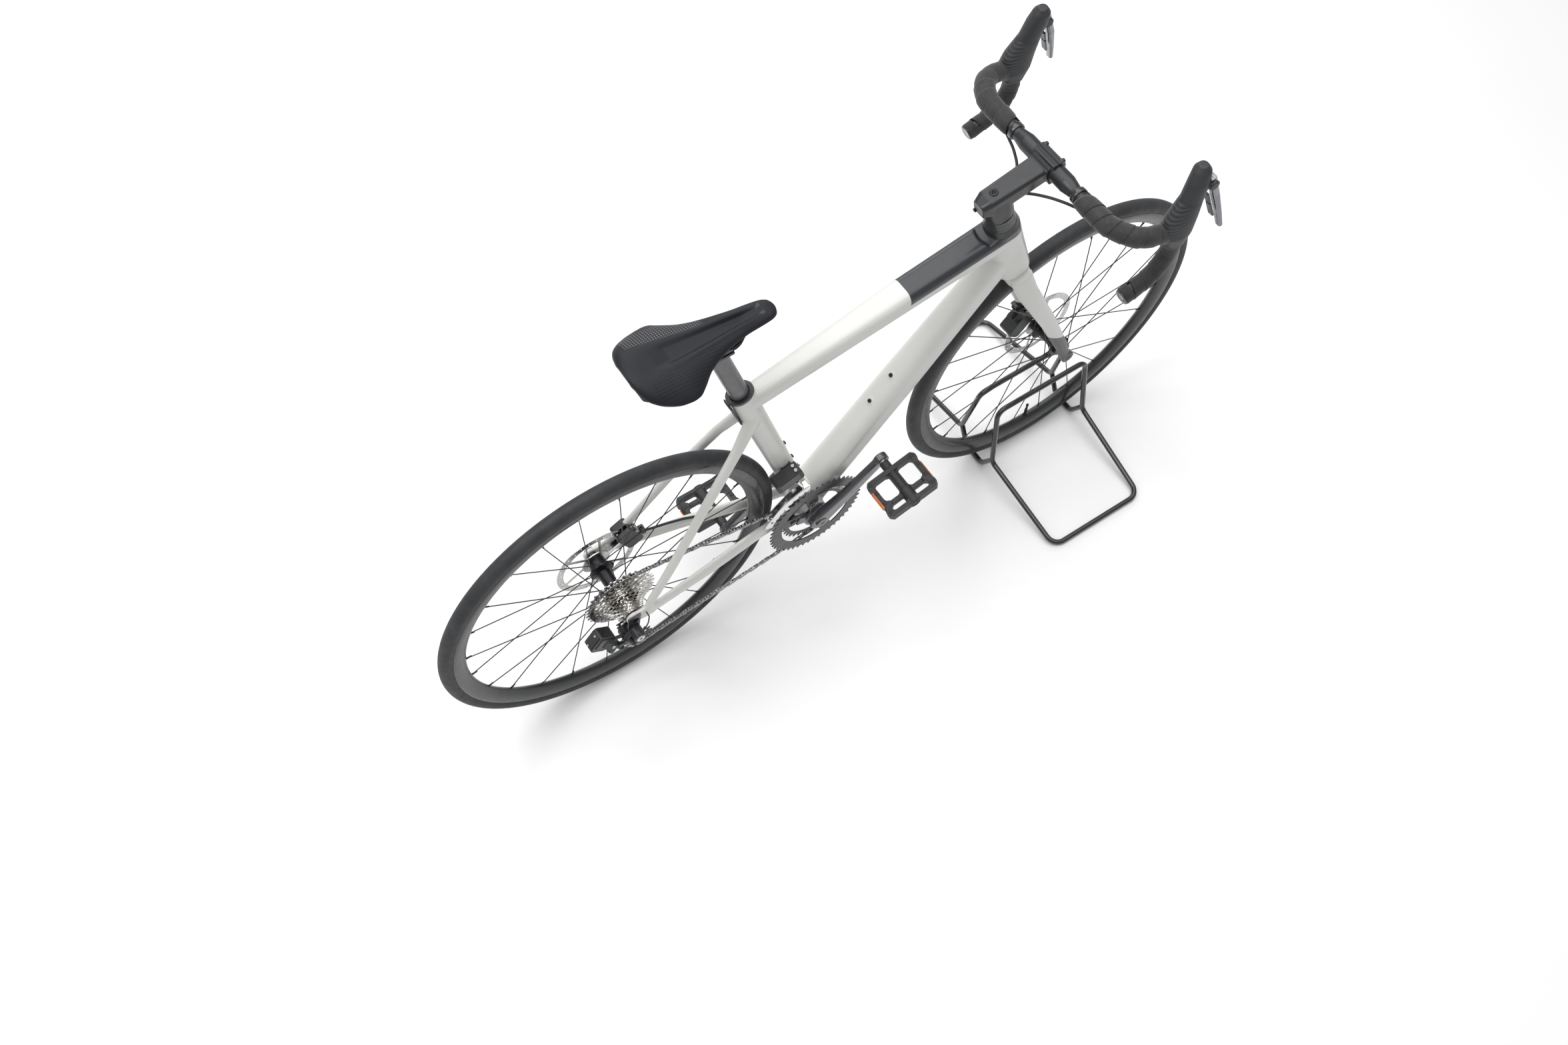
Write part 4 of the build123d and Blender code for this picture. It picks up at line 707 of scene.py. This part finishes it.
def saddle_table(rows):
    """Stations between the saddle's own, smoothed along its length."""
    count = len(SADDLE_STATIONS)
    where = np.linspace(0, count - 1, rows)
    table = np.array([[np.interp(w, np.arange(count), SADDLE_STATIONS[:, k]) for k in range(4)]
                      for w in where])
    for _ in range(10):
        table[1:-1] = 0.5 * table[1:-1] + 0.25 * (table[:-2] + table[2:])
    return table


def saddle_mesh():
    """Drooping flanks, a sunk middle channel between creases, and rolled lower edges."""
    rows, columns = 150, 192
    verts = []
    for x, crown, half, depth in saddle_table(rows):
        sag = np.interp(half, (15, 30, 55, 75), (3.0, 7.0, 18.0, 26.0))
        groove = np.interp(x, (-402, -375, -350, -220, -182), (0, 0.35, 1, 1, 0))
        reach = np.interp(x, (-400, -330, -250, -190), (19.0, 15.0, 10.0, 7.0))
        for step in range(columns):
            angle = 2 * math.pi * step / columns
            across, up = math.cos(angle), math.sin(angle)
            y = half * math.copysign(abs(across) ** 0.80, across)
            share = abs(y) / max(half, 1)
            top = crown - sag * share ** 2.3
            if up > 0:
                cut = 7.0 * groove / (1 + (abs(y) / reach) ** 8)
                crease = 1.3 * groove * math.exp(-((abs(y) - reach * 1.5) / 4.0) ** 2)
                z = top - cut + crease - (1 - abs(up) ** 0.75) * 5.0 * share ** 6
            else:
                low = top - depth * (0.40 + 0.18 * (1 - share))
                z = top - 5.0 + (low - top + 5.0) * abs(up) ** 0.5
            verts.append((x / 1000, y / 1000, max(z, LOWEST_PADDING) / 1000))
    return verts, capped_faces(rows, columns)


def saddle_shell():
    """Stiff shell under the padding, with sockets for the rails at the nose."""
    middle, half_thick, columns = 920.6, 3.6, 64
    stations = [(x, half * 0.84) for x, _, half, _ in saddle_table(90) if SHELL_ENDS[0] <= x <= SHELL_ENDS[1]]
    verts = []
    for x, half in stations:
        for step in range(columns):
            angle = 2 * math.pi * step / columns
            across, up = math.cos(angle), math.sin(angle)
            y = half * math.copysign(abs(across) ** 0.6, across)
            z = middle + half_thick * math.copysign(abs(up) ** 0.7, up)
            verts.append((x / 1000, y / 1000, z / 1000))
    sockets = [lathe([(0.01, 0), (5.2, 0.2), (5.5, 1.0), (5.5, 23.5), (5.0, 24.2), (0.01, 24.4)],
                     (-0.206, side * 0.0075, 0.922), (24.0, 0, 5.5), 32, closed=False) for side in (-1, 1)]
    return merged([(verts, capped_faces(len(stations), columns)), *sockets])


padding = piece("saddle_padding", *saddle_mesh(), cover, "seatpost", "cover")
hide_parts("saddle_pad")
shell = piece("saddle_shell", *saddle_shell(), moulded, "seatpost", "black_moulding")
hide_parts("saddle_base")

# ---- pedals: reflectors in their rims, and the bearing's end cap ----
PEDAL_CAP = [(0.01, 0.2), (6.0, 0.2), (6.4, 1.0), (8.6, 1.0), (9.0, 0.6), (9.0, -1.0), (0.01, -1.0)]
for side, sign, eye, pitch in (("right", -1, RIGHT_EYE, PEDAL_PITCH), ("left", 1, LEFT_EYE, 0.0)):
    middle = Vector((eye.x, sign * 0.1385, eye.z))
    ahead = Vector((math.cos(pitch), 0, math.sin(pitch)))
    up = Vector((-math.sin(pitch), 0, math.cos(pitch)))
    strips, rims = [], []
    for step in (-1, 1):
        lean = 0.7 if side == "right" and step < 0 else -0.7
        strip_centre = middle + ahead * step * 0.0522 + up * 0.0062 * math.copysign(1, lean)
        strips.append(slab(strip_centre, (0, 1, 0), ahead * step + up * lean, (38, 8, 3.0), 0.6))
        for row in (-1, 1):
            rim_centre = middle + ahead * step * 0.0505 + up * row * 0.0058
            rims.append(slab(rim_centre, (0, 1, 0), up, (40, 3.4, 1.6), 0.4))
    piece(f"pedal_reflectors_{side}", *merged(strips), reflector, f"pedal_{side}", "pedal_plastic",
          smooth=False)
    piece(f"reflector_rims_{side}", *merged(rims), moulded, f"pedal_{side}", "pedal_plastic", smooth=False)
    cap = lathe(PEDAL_CAP, (eye.x, sign * 0.1802, eye.z), (0, sign, 0), 40, closed=False)
    piece(f"pedal_cap_{side}", *cap, dark_hole, f"pedal_{side}", "pedal_plastic")

# ---- cranks: cap over the axle, lip round the pedal's eye, bolts of the rings ----
CRANK_CAP = [(0.01, 0.9), (4.6, 0.9), (5.0, 1.3), (10.8, 1.2), (11.6, 0.5), (11.6, -1.5), (0.01, -1.5)]
EYE_LIP = [(7.4, 0.1), (8.4, 0.7), (12.4, 0.7), (13.2, 0.0), (13.2, -1.2), (7.4, -1.2)]
for side, sign, eye in (("right", -1, RIGHT_EYE), ("left", 1, LEFT_EYE)):
    face, _ = landing(f"crank_arm_{side}", BRACKET + Vector((0.013, sign * 0.2, 0)), (0, -sign, 0))
    crank_cap = lathe(CRANK_CAP, (BRACKET.x, face.y, BRACKET.z), (0, sign, 0), 48, closed=False)
    piece(f"crank_cap_{side}", *crank_cap, black_gloss, "crank", "crank_black")
    lip = lathe(EYE_LIP, (eye.x, sign * 0.0785, eye.z), (0, sign, 0), 48)
    piece(f"pedal_eye_lip_{side}", *lip, crank_finish, "crank", "crank_black")

# ---- bottle bolts on the down tube and the seat tube ----
down_along = (on_steerer(0.058) - Vector((0.004, 0, 0)) - BRACKET).normalized()
down_out = Vector((-down_along.z, 0, down_along.x))
seat_out = Vector((SEAT_UP.z, 0, -SEAT_UP.x))
spots = [(BRACKET + down_along * reach + down_out * 0.0311, down_out, 3.9, 2.4) for reach in (0.250, 0.314)]
spots += [(on_seat_line(height) + seat_out * 0.0221, seat_out, 3.9, 2.4)
          for height in (0.430, 0.430 + 0.064 * SEAT_UP.z)]
bolts("bottle_bolts", spots, black_anodised, "frame", "black_alloy")

# ---- stem bolts ----
corners = [(Vector((0.3762, y, BAR_CENTRE.z + z)), (1, 0, 0), 3.7, 2.6)
           for y in (-0.021, 0.021) for z in (-0.0178, 0.0178)]
bolts("faceplate_bolts", corners, black_anodised, "fork", "black_alloy")
place, normal = landing("stem", on_steerer(0.40), -STEER_UP)
bolts("stem_cap_bolt", [(place - STEER_UP * 0.0004, normal, 7.5, 2.2)], black_anodised, "fork", "black_alloy")
clamp_bolts = []
for height in (0.198, 0.222):
    place, normal = landing("stem", on_steerer(height) + Vector((-0.2, 0.010, -0.06)), (0.2, 0, 0.06))
    clamp_bolts.append((place, (-0.95, 0, -0.3), 3.8, 2.4))
bolts("stem_clamp_bolts", clamp_bolts, black_anodised, "fork", "black_alloy")

# ---- calipers: mounting bolts, piston cap and the pads' cooling fins ----
PISTON_CAP = [(0.01, 2.0), (3.0, 2.0), (3.4, 2.6), (7.5, 2.6), (8.0, 1.6), (10.4, 1.4), (11.2, 0.4),
              (11.2, -1.0), (0.01, -1.0)]
CALIPER_MOUNTS = (("front", "fork", 66.3, -1, Vector((0.446, 0.049, 0.400))),
                  ("rear", "frame", 7, 1, Vector((-0.422, 0.068, 0.341))))
PISTON_PLACES = (("front", "fork", Vector((0.437, 0.0348, 0.388))),
                 ("rear", "frame", Vector((-0.427, 0.0558, 0.372))))
for name, body, fall, facing, foot in CALIPER_MOUNTS:
    along, out = tilted(fall)
    out = out * facing
    mounting = [(foot + along * step + out * 0.0044, out, 4.2, 3.2) for step in (-0.028, 0.028)]
    bolts(f"{name}_caliper_bolts", mounting, black_anodised, body, "black_alloy")
for name, body, centre in PISTON_PLACES:
    cap = lathe(PISTON_CAP, centre + Vector((0, 0.0210, 0)), (0, 1, 0), 48, closed=False)
    piece(f"{name}_piston_cap", *cap, black_anodised, body, "black_alloy")
    fins = [slab(centre + Vector((0.0, side, 0.0165 + 0.0035 * row)), (1, 0, 0), (0, 0, 1),
                 (30 - 4 * row, 6.4, 1.6), 0.5) for row in range(3) for side in (-0.0063, 0.0063)]
    piece(f"{name}_pad_fins", *merged(fins), black_anodised, body, "black_alloy", smooth=False)

# ---- rear derailleur: pivot bolts, motor housing and its screws ----
bolts("hanger_bolt_head", [(Vector((-0.501, -0.1040, 0.311)), (0, -1, 0), 8.0, 2.6)], steel, "frame",
      "black_moulding")
bolts("knuckle_bolt_head", [(Vector((-0.501, -0.0622, 0.229)), (0, -1, 0), 8.5, 2.4)], steel,
      "derailleur_knuckle", "black_moulding")
motor_out = Vector((-0.766, 0, 0.643))
motor_along = Vector((0.643, 0, 0.766))
to_link = (LINK_PIN - MOTOR).normalized()
outside = Vector((0, -1, 0))
housing = [slab(MOTOR + to_link * 0.0175, to_link, motor_along, (27, 24, 27), 5.5),
           slab(MOTOR + motor_out * 0.0196, (0, 1, 0), motor_out, (17, 32, 3.0), 1.2),
           slab(MOTOR + outside * 0.0126 + motor_along * 0.002, motor_along, outside, (28, 26, 2.6), 1.2),
           slab(MOTOR + to_link * 0.030 - motor_along * 0.006, to_link, motor_along, (14, 17, 30), 4.0)]
piece("motor_housing", *merged(housing), black_satin, "derailleur_knuckle", "black_moulding", smooth=False)
screws = [(MOTOR + motor_out * 0.0208 + motor_along * step, motor_out, 2.3, 1.6)
          for step in (-0.0125, 0.0125)]
screws.append((MOTOR + to_link * 0.0175 + outside * 0.0135 + motor_along * 0.004, outside, 3.6, 3.0))
bolts("motor_bolts", screws, steel, "derailleur_knuckle", "black_moulding")

# ---- front derailleur: adjusting screws and the motor's lid ----
lean = math.radians(16.5)
box_ahead = Vector((math.cos(lean), 0, math.sin(lean)))
screws = [(SHIFTER + SEAT_UP * 0.0150 + box_ahead * 0.019 + Vector((0, y, 0)), SEAT_UP, 3.4, 5.0)
          for y in (-0.006, 0.004)]
screws.append((SHIFTER + box_ahead * 0.0275 + Vector((0, 0.006, 0.004)), box_ahead, 4.0, 3.0))
bolts("shifter_motor_bolts", screws, steel, "frame", "black_moulding")
lid = slab(SHIFTER + outside * 0.0118 + SEAT_UP * 0.001, box_ahead, outside, (42, 22, 2.4), 0.9)
piece("shifter_motor_lid", *lid, black_satin, "frame", "black_moulding", smooth=False)

ring_bolts = []
for turn in (-115, -55, 55, 115):
    angle = math.radians(CRANK_ANGLE + turn)
    place = (BRACKET.x + 0.055 * math.cos(angle), -0.0510, BRACKET.z + 0.055 * math.sin(angle))
    ring_bolts.append((place, outside, 5.6, 1.0))
bolts("ring_bolts", ring_bolts, black_gloss, "crank", "crank_black")

# ---- tyres and rims, in millimetres from the wheel's axle ----
TYRE_MIDDLE, TYRE_HALF = 325.0, 13.9
TYRE_INSIDE = ((314.5, 9.4), (314.5, 7.0), (323.0, 10.2), (336.0, 0), (323.0, -10.2), (314.5, -7.0),
               (314.5, -9.4))
RIM_HALF = [(287.7, 0), (288.0, 2.2), (289.6, 4.4), (294.0, 8.0), (300.0, 10.4), (306.0, 11.6),
            (311.0, 11.95), (316.0, 11.7), (316.8, 11.2), (316.9, 9.9), (313.2, 9.6)]
RIM_PROFILE = RIM_HALF + [(radius, -y) for radius, y in reversed(RIM_HALF[1:])]
NIPPLE_PROFILE = [(0.01, 0), (1.9, 0), (2.0, 3.0), (1.7, 5.2), (1.5, 12.0), (0.01, 12.4)]
VALVE_PROFILE = [(0.01, 0), (4.5, 0), (4.5, 1.5), (3.0, 1.6), (3.0, 24), (2.4, 24.2), (2.4, 36), (3.0, 36.5),
                 (3.0, 40), (1.6, 43), (0.01, 43)]
SPOKES_PER_SIDE = 12


def tyre_mesh(centre):
    """Tyre turned from its section, with fine grooves cut across its shoulders and ribs on its walls."""
    angles = [math.radians(-124 + 248 * step / 32) for step in range(33)]
    segments, grooves, groove_share, groove_depth, rib_height = 720, 150, 0.16, 0.42, 0.10
    verts = []
    for step in range(segments):
        turn = 2 * math.pi * step / segments
        section = []
        for angle in angles:
            away = abs(math.degrees(angle))
            radius = TYRE_HALF
            if 22 < away < 58:
                phase = (step / segments * grooves + (away - 22) / 60 * (1 if angle > 0 else -1)) % 1
                if phase < groove_share:
                    radius -= groove_depth
            if 76 < away < 80 or 100 < away < 104:
                radius += rib_height
            section.append((TYRE_MIDDLE + radius * math.cos(angle), radius * math.sin(angle)))
        for reach, y in (*section, *TYRE_INSIDE):
            verts.append(centre + Vector((math.cos(turn) * reach, y, math.sin(turn) * reach)) / 1000)
    return verts, grid_faces(segments, len(angles) + len(TYRE_INSIDE), True, True)


for name, centre, body, valve_angle in (("front", FRONT_AXLE, "front_wheel", None),
                                        ("rear", REAR_AXLE, "rear_wheel", -0.55)):
    made = piece(f"{name}_tyre_skin", *tyre_mesh(centre), tyre_rubber, body, "tyre")
    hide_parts(f"{name}_tyre")
    turned = lathe(RIM_PROFILE, centre, segments=240)
    made = piece(f"{name}_rim_shell", *turned, rim_black, body, "rim_lacquer")
    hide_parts(f"{name}_rim")
    nipples = []
    for flank, shift in ((1, 0.25), (-1, 0.75)):
        for index in range(SPOKES_PER_SIDE):
            angle = 2 * math.pi * (index + shift) / SPOKES_PER_SIDE
            out = Vector((math.cos(angle), 0, math.sin(angle)))
            seat = centre + out * 0.2895 + Vector((0, flank * 0.0016, 0))
            nipples.append(lathe(NIPPLE_PROFILE, seat, -out, 14, closed=False))
    piece(f"{name}_nipples", *merged(nipples), black_anodised, body, "black_alloy")
    out = Vector((0, 0, -1))
    if valve_angle is not None:
        out = Vector((math.cos(valve_angle), 0, math.sin(valve_angle)))
    valve = lathe(VALVE_PROFILE, centre + out * 0.289, -out, 20, closed=False)
    piece(f"{name}_valve", *valve, black_anodised, body, "black_alloy")
